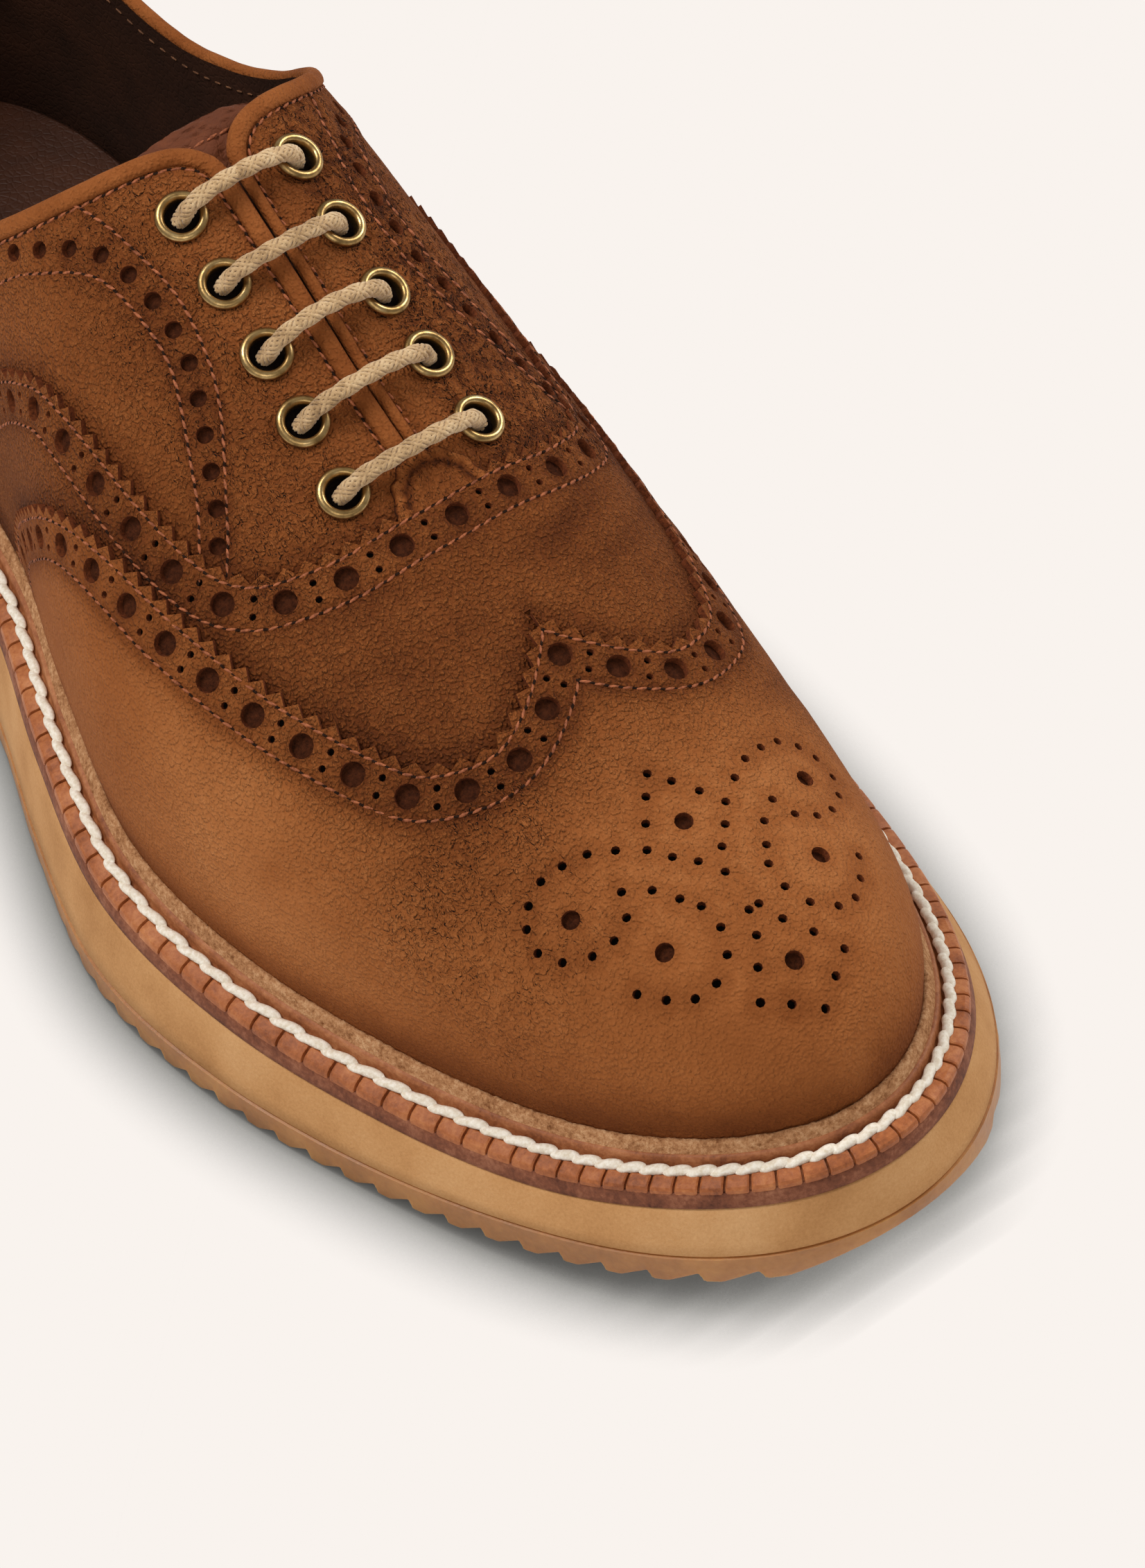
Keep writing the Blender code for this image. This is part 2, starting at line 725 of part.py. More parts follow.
def build_midsole(material):
    rings = (
        (WELT_FOOT, foam_head),
        (FOAM_MIDDLE, lambda x: mix(foam_head(x), foam_foot(x), 0.45)),
        (FOAM_FOOT, foam_foot),
    )
    return build_plate("midsole", rings, even_shares(SOLE_STEPS), material)


def tooth_marks():
    """Distances from the heel where the tread changes, with the height over the ground line."""
    toe_end = LAST_LENGTH + RUBBER_FOOT
    heel_end = -RUBBER_FOOT * HEEL_TRIM
    tip = LAST_LENGTH + FRONT_TOOTH
    marks = [(toe_end, TOE_BEVEL), (tip + TOOTH_FLAT, 0.0), (tip, 0.0)]
    while tip - TOOTH_PITCH > heel_end + 0.004:
        marks.append((tip - TOOTH_FACE, TOOTH_DEEP))
        tip -= TOOTH_PITCH
        marks.append((tip + TOOTH_FLAT, 0.0))
        marks.append((tip, 0.0))
    marks.append((heel_end, 0.0))
    return np.array(marks[::-1])


def build_outsole(material):
    marks = tooth_marks()
    start, end = marks[0, 0], marks[-1, 0]
    wanted = list(marks[:, 0])
    for mark in start + (end - start) * even_shares(26):
        if min(abs(mark - other) for other in wanted) > 0.0012:
            wanted.append(mark)
    for extra in (0.0002, 0.0008):
        wanted += [start + extra, end - extra]
    shares = (np.array(sorted(wanted)) - start) / (end - start)

    def top(x):
        return ground_height(x) + RUBBER_THICK - GAP / 2

    def tread(x):
        return ground_height(x) + np.interp(x * LAST_LENGTH, marks[:, 0], marks[:, 1])

    rings = ((FOAM_FOOT, top), (RUBBER_FOOT, tread))
    return build_plate("outsole", rings, shares, material, 20)


def build_insole(material):
    rings = (
        (INNER - 0.0009, lambda x: bed_height(x) + GAP + INSOLE_THICK),
        (INNER - 0.0005, lambda x: bed_height(x) + GAP + INSOLE_THICK - 0.0005),
        (INNER - 0.0005, lambda x: bed_height(x)),
    )
    return build_plate("insole", rings, even_shares(24), material, 50)


def build_tongue(material):
    """Padded strip under the facings, from behind the top of the throat to under the vamp."""
    columns, rows = 11, 9
    bm = bmesh.new()
    stations = np.linspace(TONGUE_START, 0.69, columns)
    half = np.interp(stations, (TONGUE_START, 0.436, 0.60, 0.69), (0.0190, 0.0225, 0.0185, 0.0150))
    sheets = []
    for height in (TONGUE_TOP, TONGUE_TOP - TONGUE_THICK):
        p = np.repeat(CHART.p_of(stations)[:, None], rows, axis=1)
        q = half[:, None] * np.linspace(-1.0, 1.0, rows)[None, :]
        grid = CHART.point(p, q, height)
        sheets.append([[bm.verts.new(v) for v in line] for line in grid])
    for i in range(columns - 1):
        for j in range(rows - 1):
            for sheet, turn in zip(sheets, (1, -1)):
                corners = (sheet[i][j], sheet[i + 1][j], sheet[i + 1][j + 1], sheet[i][j + 1])
                bm.faces.new(corners[::turn])
    top, low = sheets
    border = [(i, 0) for i in range(columns)] + [(columns - 1, j) for j in range(1, rows)]
    border += [(i, rows - 1) for i in range(columns - 2, -1, -1)] + [(0, j) for j in range(rows - 2, 0, -1)]
    for (a, b), (c, d) in zip(border, border[1:] + border[:1]):
        bm.faces.new((top[a][b], low[a][b], low[c][d], top[c][d]))
    smooth_by_angle(bm, 50)
    return add_object("tongue", bm, material)


def eyelet_frame(p, q):
    """Centre, normal and two directions of the leather at an eyelet."""
    centre = CHART.point(p, q, EYESTAY)
    normal = CHART.normal(p, q)
    aside = CHART.point(p, q + 0.001, EYESTAY) - centre
    aside -= normal * aside.dot(normal)
    aside /= np.linalg.norm(aside)
    return centre, normal, aside, np.cross(normal, aside)


def build_eyelet(name, p, q, material):
    """Rolled brass ring that stands just clear of the leather."""
    centre, normal, aside, along = eyelet_frame(p, q)
    base, top = 0.0004, 0.0004 + EYELET_HIGH
    profile = (
        (EYELET_OUTER, base),
        (EYELET_OUTER - 0.0002, base + 0.0005),
        (EYELET_OUTER - 0.0007, top),
        (EYELET_HOLE + 0.0002, top - 0.0001),
        (EYELET_HOLE, base),
    )
    segments = 16
    bm = bmesh.new()
    rows = []
    for k in range(segments):
        turn = 2 * math.pi * k / segments
        out = aside * math.cos(turn) + along * math.sin(turn)
        rows.append([bm.verts.new(centre + out * r + normal * h) for r, h in profile])
    for a, b in zip(rows, rows[1:] + rows[:1]):
        for i in range(len(profile)):
            j = (i + 1) % len(profile)
            bm.faces.new((a[i], a[j], b[j], b[i]))
    smooth_by_angle(bm, 60)
    return add_object(name, bm, material)


def lace_path():
    """Five bars in one run, joined in front of every second pair of eyelets."""
    right, left = eyelet_spots(-1), eyelet_spots(1)
    path = []
    for i, (a, b) in enumerate(zip(right, left)):
        ends = (a, b) if i % 2 == 0 else (b, a)
        for t in (0.0, 0.08, 0.25, 0.5, 0.75, 0.92, 1.0):
            p, q = mix(ends[0][0], ends[1][0], t), mix(ends[0][1], ends[1][1], t)
            path.append(CHART.point(p, q, EYESTAY + LACE_OVER))
    return np.array(path)


def build_lace(material):
    path = lace_path()
    segments = 7
    along = np.gradient(path, axis=0)
    along /= np.linalg.norm(along, axis=1)[:, None]
    bm = bmesh.new()
    rows = []
    aside = np.cross(along[0], (0.0, 0.0, 1.0))
    for centre, way in zip(path, along):
        aside = aside - way * aside.dot(way)
        aside /= np.linalg.norm(aside)
        lift = np.cross(way, aside)
        turns = np.arange(segments) * 2 * math.pi / segments
        rows.append([bm.verts.new(centre + LACE_RADIUS * (aside * math.cos(t) + lift * math.sin(t))) for t in turns])
    for a, b in zip(rows, rows[1:]):
        for i in range(segments):
            j = (i + 1) % segments
            bm.faces.new((a[i], a[j], b[j], b[i]))
    bm.faces.new(rows[0])
    bm.faces.new(rows[-1][::-1])
    smooth_by_angle(bm, 60)
    return add_object("lace", bm, material)


def build():
    for obj in list(bpy.data.objects):
        bpy.data.objects.remove(obj, do_unlink=True)
    build_outsole(make_material("gum_rubber", (0.42, 0.20, 0.06), 0.45))
    build_midsole(make_material("beige_foam", (0.50, 0.32, 0.15), 0.85))
    build_welt(make_material("welt_leather", (0.26, 0.09, 0.03), 0.7))
    build_insole(make_material("sock_leather", (0.14, 0.06, 0.03), 0.6))
    build_upper(make_material("tan_nubuck", (0.27, 0.10, 0.035), 0.8))
    build_tongue(make_material("tongue_leather", (0.18, 0.07, 0.03), 0.7))
    build_lace(make_material("lace_cotton", (0.60, 0.45, 0.26), 0.9))
    brass = make_material("aged_brass", (0.38, 0.27, 0.10), 0.35, 1.0)
    for side, word in ((-1, "lateral"), (1, "medial")):
        for number, (p, q) in enumerate(eyelet_spots(side), 1):
            build_eyelet(f"eyelet_{word}_{number}", p, q, brass)


build()
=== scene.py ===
"""Looks of a full brogue oxford in tan nubuck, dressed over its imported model.

The last, its chart and the pattern lines are worked out as in the part's source, in metres.
In the chart p runs round the outline from the heel to the toe and q is the way over the
leather from the ridge, positive on the medial side.
"""

import math

import bpy
import numpy as np
from mathutils import Matrix, Vector, noise
from mathutils.geometry import delaunay_2d_cdt
from mathutils.kdtree import KDTree


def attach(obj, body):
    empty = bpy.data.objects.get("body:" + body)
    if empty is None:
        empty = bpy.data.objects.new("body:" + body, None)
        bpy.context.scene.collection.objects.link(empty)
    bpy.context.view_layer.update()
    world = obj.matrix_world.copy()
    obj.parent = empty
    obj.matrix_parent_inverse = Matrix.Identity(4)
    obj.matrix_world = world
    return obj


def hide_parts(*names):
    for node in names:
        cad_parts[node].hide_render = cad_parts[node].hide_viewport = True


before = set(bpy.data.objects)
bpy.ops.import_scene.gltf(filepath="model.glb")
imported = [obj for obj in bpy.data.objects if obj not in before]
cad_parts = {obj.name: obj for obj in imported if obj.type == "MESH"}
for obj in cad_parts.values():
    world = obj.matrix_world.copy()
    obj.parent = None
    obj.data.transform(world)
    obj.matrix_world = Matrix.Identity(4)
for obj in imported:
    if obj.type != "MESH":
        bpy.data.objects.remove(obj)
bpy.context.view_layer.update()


# Main sizes of the last
LAST_LENGTH = 0.288
BALL_WIDTH = 0.0967
INSTEP_HEIGHT = 0.0893
HEEL_HEIGHT = 0.037
TOE_ROUND = 0.0337
TOE_POWER = 2.3
SIDE_SWELL = 0.06
HEEL_SWELL = 0.0018
HEEL_LEAN = 0.0060
HEEL_REACH = 0.30

# Sole
WELT_THICK = 0.004
RUBBER_THICK = 0.0059
TOE_SPRING = 0.009
SPRING_START = 0.78
SPRING_POWER = 1.52
TOOTH_PITCH = 0.0064
TOOTH_DEEP = 0.0024
TOOTH_FLAT = 0.0020
FRONT_TOOTH = 0.0045
TOOTH_FACE = 0.0005
TOE_BEVEL = 0.003
HEEL_TRIM = 0.7

# Upper
INNER = -0.0015
EYESTAY = 0.0005
GAP = 0.0003
TONGUE_TOP = -0.0020
TONGUE_START = 0.421
TONGUE_THICK = 0.0020
BAND_EDGE = 0.0057

# Lacing
LACE_RADIUS = 0.0014

# Sections from the heel to the toe, the last row lies ahead of the toe.
# station: share of the length. lateral, medial: fullness as a share of the ball width.
# waist: how far the medial foot is tucked in, share of the ball width.
# roof: height over the bed as a share of the instep height. bed: share of the heel height.
# crest: how far the ridge lies to the medial side, share of the ball width.
LAST_TABLE = (
    (0.0, 0.650, 0.649, 0.000, 1.252, 1.000, 0.000),
    (0.1, 0.483, 0.499, 0.000, 1.224, 0.986, 0.016),
    (0.2, 0.402, 0.435, 0.025, 1.176, 0.946, 0.030),
    (0.3, 0.375, 0.428, 0.065, 1.102, 0.881, 0.040),
    (0.4, 0.402, 0.427, 0.080, 1.000, 0.811, 0.043),
    (0.5, 0.495, 0.423, 0.050, 0.861, 0.762, 0.031),
    (0.6, 0.580, 0.440, 0.012, 0.723, 0.668, 0.016),
    (0.7, 0.591, 0.457, 0.000, 0.607, 0.576, 0.016),
    (0.8, 0.569, 0.489, 0.000, 0.487, 0.527, 0.011),
    (0.9, 0.557, 0.537, 0.000, 0.382, 0.562, 0.005),
    (1.0, 0.572, 0.571, 0.000, 0.293, 0.754, 0.004),
    (1.1, 0.587, 0.605, 0.000, 0.204, 0.897, 0.003),
)
STATION, LATERAL, MEDIAL, WAIST, ROOF, BED, CREST = range(7)

# Collar height over the bed behind the instep: station, share of the instep height.
REAR_TOP_LINE = (
    (0.00, 0.680),
    (0.05, 0.650),
    (0.10, 0.590),
    (0.15, 0.530),
    (0.20, 0.504),
    (0.25, 0.520),
    (0.30, 0.590),
    (0.35, 0.690),
)

# Top line and throat: station, distance over the leather from the ridge as a share of the ball width.
FRONT_TOP_LINE = (
    (0.239, 0.734),
    (0.273, 0.699),
    (0.306, 0.630),
    (0.336, 0.545),
    (0.370, 0.424),
    (0.393, 0.333),
    (0.411, 0.242),
    (0.421, 0.173),
    (0.428, 0.110),
    (0.434, 0.062),
    (0.443, 0.027),
    (0.456, 0.010),
    (0.500, 0.008),
    (0.640, 0.006),
)

# Edge of the wing cap, from its peak back to the welt.
CAP_EDGE = (
    (0.723, 0.000),
    (0.742, 0.056),
    (0.756, 0.111),
    (0.764, 0.168),
    (0.762, 0.212),
    (0.751, 0.274),
    (0.735, 0.310),
    (0.708, 0.353),
    (0.667, 0.405),
    (0.605, 0.459),
    (0.560, 0.498),
    (0.520, 0.552),
    (0.485, 0.630),
    (0.452, 0.744),
    (0.424, 0.856),
    (0.404, 0.985),
    (0.395, 1.120),
    (0.390, 1.400),
)

# Edge of the vamp, from under the last eyelets back to the welt.
VAMP_EDGE = (
    (0.6440, 0.000),
    (0.6435, 0.060),
    (0.6410, 0.178),
    (0.6360, 0.240),
    (0.6300, 0.286),
    (0.6235, 0.322),
    (0.6110, 0.356),
    (0.5920, 0.379),
    (0.5660, 0.399),
    (0.5390, 0.416),
    (0.5120, 0.431),
    (0.4850, 0.449),
    (0.4580, 0.477),
    (0.4360, 0.518),
    (0.4000, 0.618),
    (0.3600, 0.780),
    (0.3280, 0.960),
    (0.3000, 1.180),
    (0.2850, 1.500),
)

# Row of holes along the eyestay and the collar, from the vamp back to the heel.
BAND_LINE = (
    (0.616, 0.400),
    (0.600, 0.352),
    (0.584, 0.314),
    (0.569, 0.290),
    (0.552, 0.265),
    (0.537, 0.245),
    (0.522, 0.229),
    (0.504, 0.223),
    (0.487, 0.226),
    (0.468, 0.236),
    (0.451, 0.253),
    (0.436, 0.284),
    (0.421, 0.326),
    (0.410, 0.359),
    (0.398, 0.394),
    (0.370, 0.500),
    (0.336, 0.628),
)
BAND_DROP = 0.0085

# Eyelets: station, distance from the ridge as a share of the ball width.
EYELETS = (
    (0.464, 0.113),
    (0.504, 0.113),
    (0.544, 0.115),
    (0.581, 0.123),
    (0.621, 0.133),
)

# Edges of the sole outside the foot of the upper
LIP_OUTSIDE = 0.0021
WELT_FOOT = 0.0088
FOAM_MIDDLE = 0.0104
FOAM_FOOT = 0.0119
RUBBER_FOOT = 0.0124

MM = 0.001
SIDES = (-1, 1)
OUTLINE_STEPS = 1600


def mix(a, b, t):
    return a + (b - a) * t


def soft(t):
    t = np.clip(t, 0.0, 1.0)
    return t * t * (3.0 - 2.0 * t)


def hermite(a, b, slope_a, slope_b, t):
    """Cubic from a to b with given slopes at its ends."""
    return ((2 * t**3 - 3 * t**2 + 1) * a + (t**3 - 2 * t**2 + t) * slope_a
            + (3 * t**2 - 2 * t**3) * b + (t**3 - t**2) * slope_b)


def unit(vectors, least=0.0):
    return vectors / np.maximum(np.linalg.norm(vectors, axis=-1), least)[..., None]


def run_of(points):
    """Running length along a line of points."""
    return np.concatenate([[0.0], np.cumsum(np.linalg.norm(np.diff(points, axis=0), axis=1))])


def at_marks(points, runs, marks):
    """Points of a line at distances along it."""
    return np.stack([np.interp(marks, runs, points[:, k]) for k in range(points.shape[1])], -1)


def even_shares(count):
    """Shares from 0 to 1 that crowd towards both ends."""
    return (1.0 - np.cos(np.linspace(0.0, math.pi, count + 1))) / 2


def table_curve(column, x):
    """Smooth curve through one column of the last table."""
    values = np.array([row[column] for row in LAST_TABLE])
    steps = np.asarray(x, float) / LAST_TABLE[1][STATION]
    cell = np.clip(np.floor(steps).astype(int), 0, len(values) - 2)
    slopes = np.gradient(values)
    return hermite(values[cell], values[cell + 1], slopes[cell], slopes[cell + 1], steps - cell)


def bed_height(x):
    return HEEL_HEIGHT * table_curve(BED, np.clip(x, 0.0, 1.09))


def ground_height(x):
    rise = np.clip((x - SPRING_START) / (1.0 - SPRING_START), 0.0, None)
    return TOE_SPRING * rise**SPRING_POWER


def roof_height(x):
    u = np.clip((x * LAST_LENGTH - LAST_LENGTH + TOE_ROUND) / TOE_ROUND, 0.0, 1.0)
    return INSTEP_HEIGHT * table_curve(ROOF, x) * (1.0 - u**TOE_POWER) ** (1.0 / TOE_POWER)


def half_width(x, side):
    column = MEDIAL if side > 0 else LATERAL
    x = np.clip(x, 0.0, 1.0)
    return 2.0 * np.sqrt(x * (1.0 - x)) * BALL_WIDTH * table_curve(column, x)


def waist_tuck(x, side):
    return BALL_WIDTH * np.clip(table_curve(WAIST, x), 0.0, None) * (side > 0)


def heel_curve(x, over):
    """How far the back of the heel leans inward at a height over the bed."""
    swell = soft((over - 0.005) / 0.018) * (1.0 - soft((over - 0.030) / 0.030))
    lean = HEEL_LEAN * soft((over - 0.026) / 0.044) - HEEL_SWELL * swell
    return lean * np.clip(1.0 - x / HEEL_REACH, 0.0, None) ** 2


def section_point(x, turn, side):
    """Point of the last at a station, turn 0 on the ridge and a quarter turn on the foot."""
    x, turn = np.broadcast_arrays(np.asarray(x, float), np.asarray(turn, float))
    side_power = 2.0 / (2.62 - 0.36 * x)
    roof_power = 2.0 / (2.6 - 0.4 * x)
    out = np.sin(turn) ** side_power + SIDE_SWELL * np.sin(2 * turn) ** 2 * np.sin(turn)
    up = np.clip(np.cos(turn), 0.0, 1.0) ** roof_power
    medial, lateral = half_width(x, 1), half_width(x, -1)
    middle = (medial - lateral) / 2
    crest = BALL_WIDTH * table_curve(CREST, x)
    ridge = middle + (crest - middle) * np.clip((medial + lateral) / 0.06, 0.0, 1.0)
    edge = side * np.where(side > 0, medial, lateral)
    across = ridge + (edge - ridge) * out
    across -= side * waist_tuck(x, side) * soft((turn - 0.9) / (math.pi / 2 - 0.9))
    over = roof_height(x) * up
    along = -x * LAST_LENGTH - heel_curve(x, over)
    return np.stack([across, along, bed_height(x) + over], -1)


def heel_trim(x):
    """Share of the sole's reach, less behind the heel."""
    return mix(HEEL_TRIM, 1.0, soft(x / 0.2))


def foot_outline(side, out):
    """Dense outline of the foot of the last, moved outward, from the heel to the toe."""
    x = even_shares(OUTLINE_STEPS)
    across = side * (half_width(x, side) - waist_tuck(x, side))
    line = np.stack([across, -x * LAST_LENGTH], -1)
    along = np.gradient(line, axis=0)
    along[0] = (side, 0.0)
    along[-1] = (-side, 0.0)
    along = unit(along)
    normal = np.stack([-along[:, 1], along[:, 0]], -1) * side
    reach = out * heel_trim(x) if out > LIP_OUTSIDE else out
    return line + normal * np.broadcast_to(reach, x.shape)[:, None]


def frame_shift():
    """Moves the shoe so that its outline is centred on the origin."""
    lateral, medial = foot_outline(-1, RUBBER_FOOT), foot_outline(1, RUBBER_FOOT)
    both = np.concatenate([lateral, medial])
    middle = (both.min(axis=0) + both.max(axis=0)) / 2
    return np.array([-middle[0], -middle[1], 0.0])


SHIFT = frame_shift()


class LastChart:
    """Flat chart of the last: p runs round the outline from the heel, q is the way from the ridge."""

    STEPS = 361
    CELLS = 240

    def __init__(self):
        self.x = even_shares(self.STEPS - 1)
        middle = (half_width(self.x, 1) + half_width(self.x, -1)) / 2
        run = np.hypot(np.diff(middle), np.diff(self.x) * LAST_LENGTH)
        self.p = np.concatenate([[0.0], np.cumsum(run)])
        turns = math.pi / 2 * even_shares(self.CELLS)
        shares = np.linspace(0.0, 1.0, self.CELLS + 1)
        self.girth, self.turn = {}, {}
        for side in SIDES:
            points = section_point(self.x[:, None], turns[None, :], side)
            steps = np.linalg.norm(np.diff(points, axis=1), axis=2)
            arc = np.concatenate([np.zeros((self.STEPS, 1)), np.cumsum(steps, axis=1)], axis=1)
            self.girth[side] = arc[:, -1]
            rows = [np.interp(shares, a / max(a[-1], 1e-9), turns) for a in arc[:-1]]
            rows.append(rows[-1])
            self.turn[side] = np.array(rows)

    def p_of(self, x):
        return np.interp(x, self.x, self.p)

    def x_of(self, p):
        return np.interp(p, self.p, self.x)

    def girth_at(self, p, side):
        return np.interp(p, self.p, self.girth[side])

    def base(self, p, q):
        """Points of the last for arrays of chart coordinates."""
        p, q = np.broadcast_arrays(np.asarray(p, float), np.asarray(q, float))
        p = np.clip(p, 0.0, self.p[-1])
        x = self.x_of(p)
        row = np.clip(np.searchsorted(self.p, p, side="right") - 1, 0, self.STEPS - 2)
        t = (p - self.p[row]) / (self.p[row + 1] - self.p[row])
        result = np.zeros(p.shape + (3,))
        for side in SIDES:
            pick = (q >= 0) if side > 0 else (q < 0)
            girth = np.maximum(np.interp(p, self.p, self.girth[side]), 1e-9)
            share = np.clip(np.abs(q) / girth, 0.0, 1.0) * self.CELLS
            cell = np.clip(share.astype(int), 0, self.CELLS - 1)
            f = share - cell
            turn = self.turn[side]
            near = mix(turn[row, cell], turn[row, cell + 1], f)
            far = mix(turn[row + 1, cell], turn[row + 1, cell + 1], f)
            points = section_point(x, mix(near, far, t), side)
            result[pick] = points[pick]
        return result

    def normal(self, p, q):
        step = 0.0004
        p, q = np.broadcast_arrays(np.asarray(p, float), np.asarray(q, float))
        seam = p < 1e-7
        q = np.where(seam, np.abs(q), q)
        limit = np.where(q >= 0, self.girth_at(p, 1), self.girth_at(p, -1))
        q = np.clip(q, -limit, limit)
        across = self.base(p, np.minimum(q + step, self.girth_at(p, 1)))
        across = across - self.base(p, np.maximum(q - step, -self.girth_at(p, -1)))
        along = self.base(np.minimum(p + step, self.p[-1]), q) - self.base(np.maximum(p - step, 0.0), q)
        n = np.cross(along, across)
        n[seam, 0] = 0.0
        size = np.linalg.norm(n, axis=-1)
        tip = size < 1e-12
        n[tip] = (0.0, -1.0, 0.0)
        n[~tip] /= size[~tip][:, None]
        return n

    def point(self, p, q, height):
        """World points at a height over the last."""
        height = np.broadcast_to(np.asarray(height, float), np.shape(p))
        return self.base(p, q) + self.normal(p, q) * height[..., None] + SHIFT

    def reach_at_height(self, x, side, height):
        """Way over the leather from the ridge down to a height over the bed."""
        points = section_point(x, np.linspace(0.02, math.pi / 2, 300), side)
        first = np.linalg.norm(points[0] - section_point(x, 0.0, side))
        return float(np.interp(-height, bed_height(x) - points[:, 2], first + run_of(points)))


CHART = LastChart()


def on_chart(rows, side, size=BALL_WIDTH):
    """Chart points of (station, reach) rows on one side of the ridge."""
    return [(float(CHART.p_of(x)), side * reach * size) for x, reach in rows]


def smooth_line(points, per_span=8):
    """Catmull-Rom curve through points."""
    pts = np.asarray(points, float)
    slopes = np.gradient(pts, axis=0)
    result = []
    for i in range(len(pts) - 1):
        for t in np.linspace(0.0, 1.0, per_span, endpoint=False):
            result.append(hermite(pts[i], pts[i + 1], slopes[i], slopes[i + 1], t))
    return np.array(result + [pts[-1]])


def even_line(points, step):
    """The same line with even steps."""
    runs = run_of(points)
    count = max(int(round(runs[-1] / step)), 1)
    return at_marks(points, runs, np.linspace(0.0, runs[-1], count + 1))


def chart_line(rows, side):
    """Table rows as a smooth line in the chart, cut where it meets the foot."""
    line = smooth_line(on_chart(rows, side))
    over = np.abs(line[:, 1]) - CHART.girth_at(line[:, 0], side)
    past = np.nonzero(over >= 0)[0]
    if len(past) == 0:
        return line
    i = past[0]
    end = mix(line[i - 1], line[i], over[i - 1] / (over[i - 1] - over[i]))
    end[1] = side * CHART.girth_at(end[0], side)
    return np.vstack([line[:i], end])


def rear_reach(x, side):
    stations, heights = zip(*REAR_TOP_LINE)
    return CHART.reach_at_height(x, side, INSTEP_HEIGHT * float(np.interp(x, stations, heights)))


def top_line(side):
    """Collar from the heel seam, round the top of the facing and down the throat."""
    stations, reaches = zip(*[(x, reach * BALL_WIDTH) for x, reach in FRONT_TOP_LINE])
    line = []
    for x in np.concatenate([[0.0, 0.003, 0.01, 0.022, 0.04], np.arange(0.065, 0.33, 0.025)]):
        ahead = float(np.interp(x, stations, reaches))
        line.append((float(CHART.p_of(x)), side * mix(rear_reach(x, side), ahead, soft((x - 0.24) / 0.08))))
    return smooth_line(line + on_chart([row for row in FRONT_TOP_LINE if row[0] > 0.33], side), 6)


def band_line(side, shift):
    """Row of holes of the eyestay and collar, moved away from the opening by shift."""
    collar = top_line(side)[:120]
    line = on_chart(BAND_LINE, side)
    for x in np.arange(0.30, -0.01, -0.03):
        p = float(CHART.p_of(max(x, 0.0)))
        line.append((p, side * (np.interp(p, collar[:, 0], np.abs(collar[:, 1])) + BAND_DROP)))
    line = smooth_line(line)
    along = unit(np.gradient(line, axis=0))
    moved = line + np.stack([along[:, 1], -along[:, 0]], -1) * side * shift
    moved[-1] = (0.0, side * (rear_reach(0.0, 1) + BAND_DROP + shift))
    return moved


def inside(points, loop, chunk=6000):
    """Which flat points lie inside a closed line, worked through in chunks."""
    a, b = loop, np.roll(loop, -1, axis=0)
    rise = b[:, 1] - a[:, 1]
    rise = np.where(np.abs(rise) < 1e-15, 1e-15, rise)
    result = np.zeros(len(points), bool)
    near = np.nonzero(((points > loop.min(axis=0)) & (points < loop.max(axis=0))).all(axis=1))[0]
    for start in range(0, len(near), chunk):
        pick = near[start:start + chunk]
        x, y = points[pick, 0][:, None], points[pick, 1][:, None]
        crosses = (a[:, 1] > y) != (b[:, 1] > y)
        left = x < (b[:, 0] - a[:, 0]) * (y - a[:, 1]) / rise + a[:, 0]
        result[pick] = (crosses & left).sum(axis=1) % 2 == 1
    return result


def foot_line(side, step):
    line = np.stack([CHART.p, side * CHART.girth[side]], -1)
    line[-1, 1] = 0.0
    return even_line(line, step)


def eyelet_frame(p, q):
    """Centre, normal and two directions of the leather at an eyelet."""
    centre, normal = CHART.point(p, q, EYESTAY), CHART.normal(p, q)
    aside = CHART.point(p, q + 0.001, EYESTAY) - centre
    aside = unit(aside - normal * aside.dot(normal))
    return centre, normal, aside, np.cross(normal, aside)


def tooth_marks():
    """Distances from the heel where the tread changes, with the height over the ground line."""
    toe_end = LAST_LENGTH + RUBBER_FOOT
    heel_end = -RUBBER_FOOT * HEEL_TRIM
    tip = LAST_LENGTH + FRONT_TOOTH
    marks = [(toe_end, TOE_BEVEL), (tip + TOOTH_FLAT, 0.0), (tip, 0.0)]
    while tip - TOOTH_PITCH > heel_end + 0.004:
        marks.append((tip - TOOTH_FACE, TOOTH_DEEP))
        tip -= TOOTH_PITCH
        marks.append((tip + TOOTH_FLAT, 0.0))
        marks.append((tip, 0.0))
    marks.append((heel_end, 0.0))
    return np.array(marks[::-1])


# Pattern of the upper, measured over the leather
GIMP_PITCH = 0.0034
GIMP_DEEP = 0.0016
ROW_NEAR = 0.0021
HOLE_ROW = 0.0052
ROW_FAR = 0.0087
WING_PITCH = 0.0092
VAMP_PITCH = 0.0100
FACING_PITCH = 0.0059
FACING_END = 0.604
BIG_HOLE = 0.0020
PAIR_HOLE = 0.0006
PAIR_APART = 0.0014
FACING_HOLE = 0.00145
DOT = 0.00074
SPOT = 0.0015
EYELET_CUT = 0.0032
BEAD_WIDE = 0.0026
SKIN_RIM = 0.0009
CAP_LIFT = 0.0018
VAMP_LIFT = 0.0009
TAB_CENTRE = 0.6500
TAB_RADIUS = 0.0078
TAB_LIFT = 0.00030
SKIN_STEP = 0.0013
HOLE_DEEP = 0.0013
PAIR_DEEP = 0.0010
FOOT_MARGIN = 0.0014
HEEL_SEAM = 0.0022
CREASE_WIDE = 0.16
WALL_SINK = 0.0002

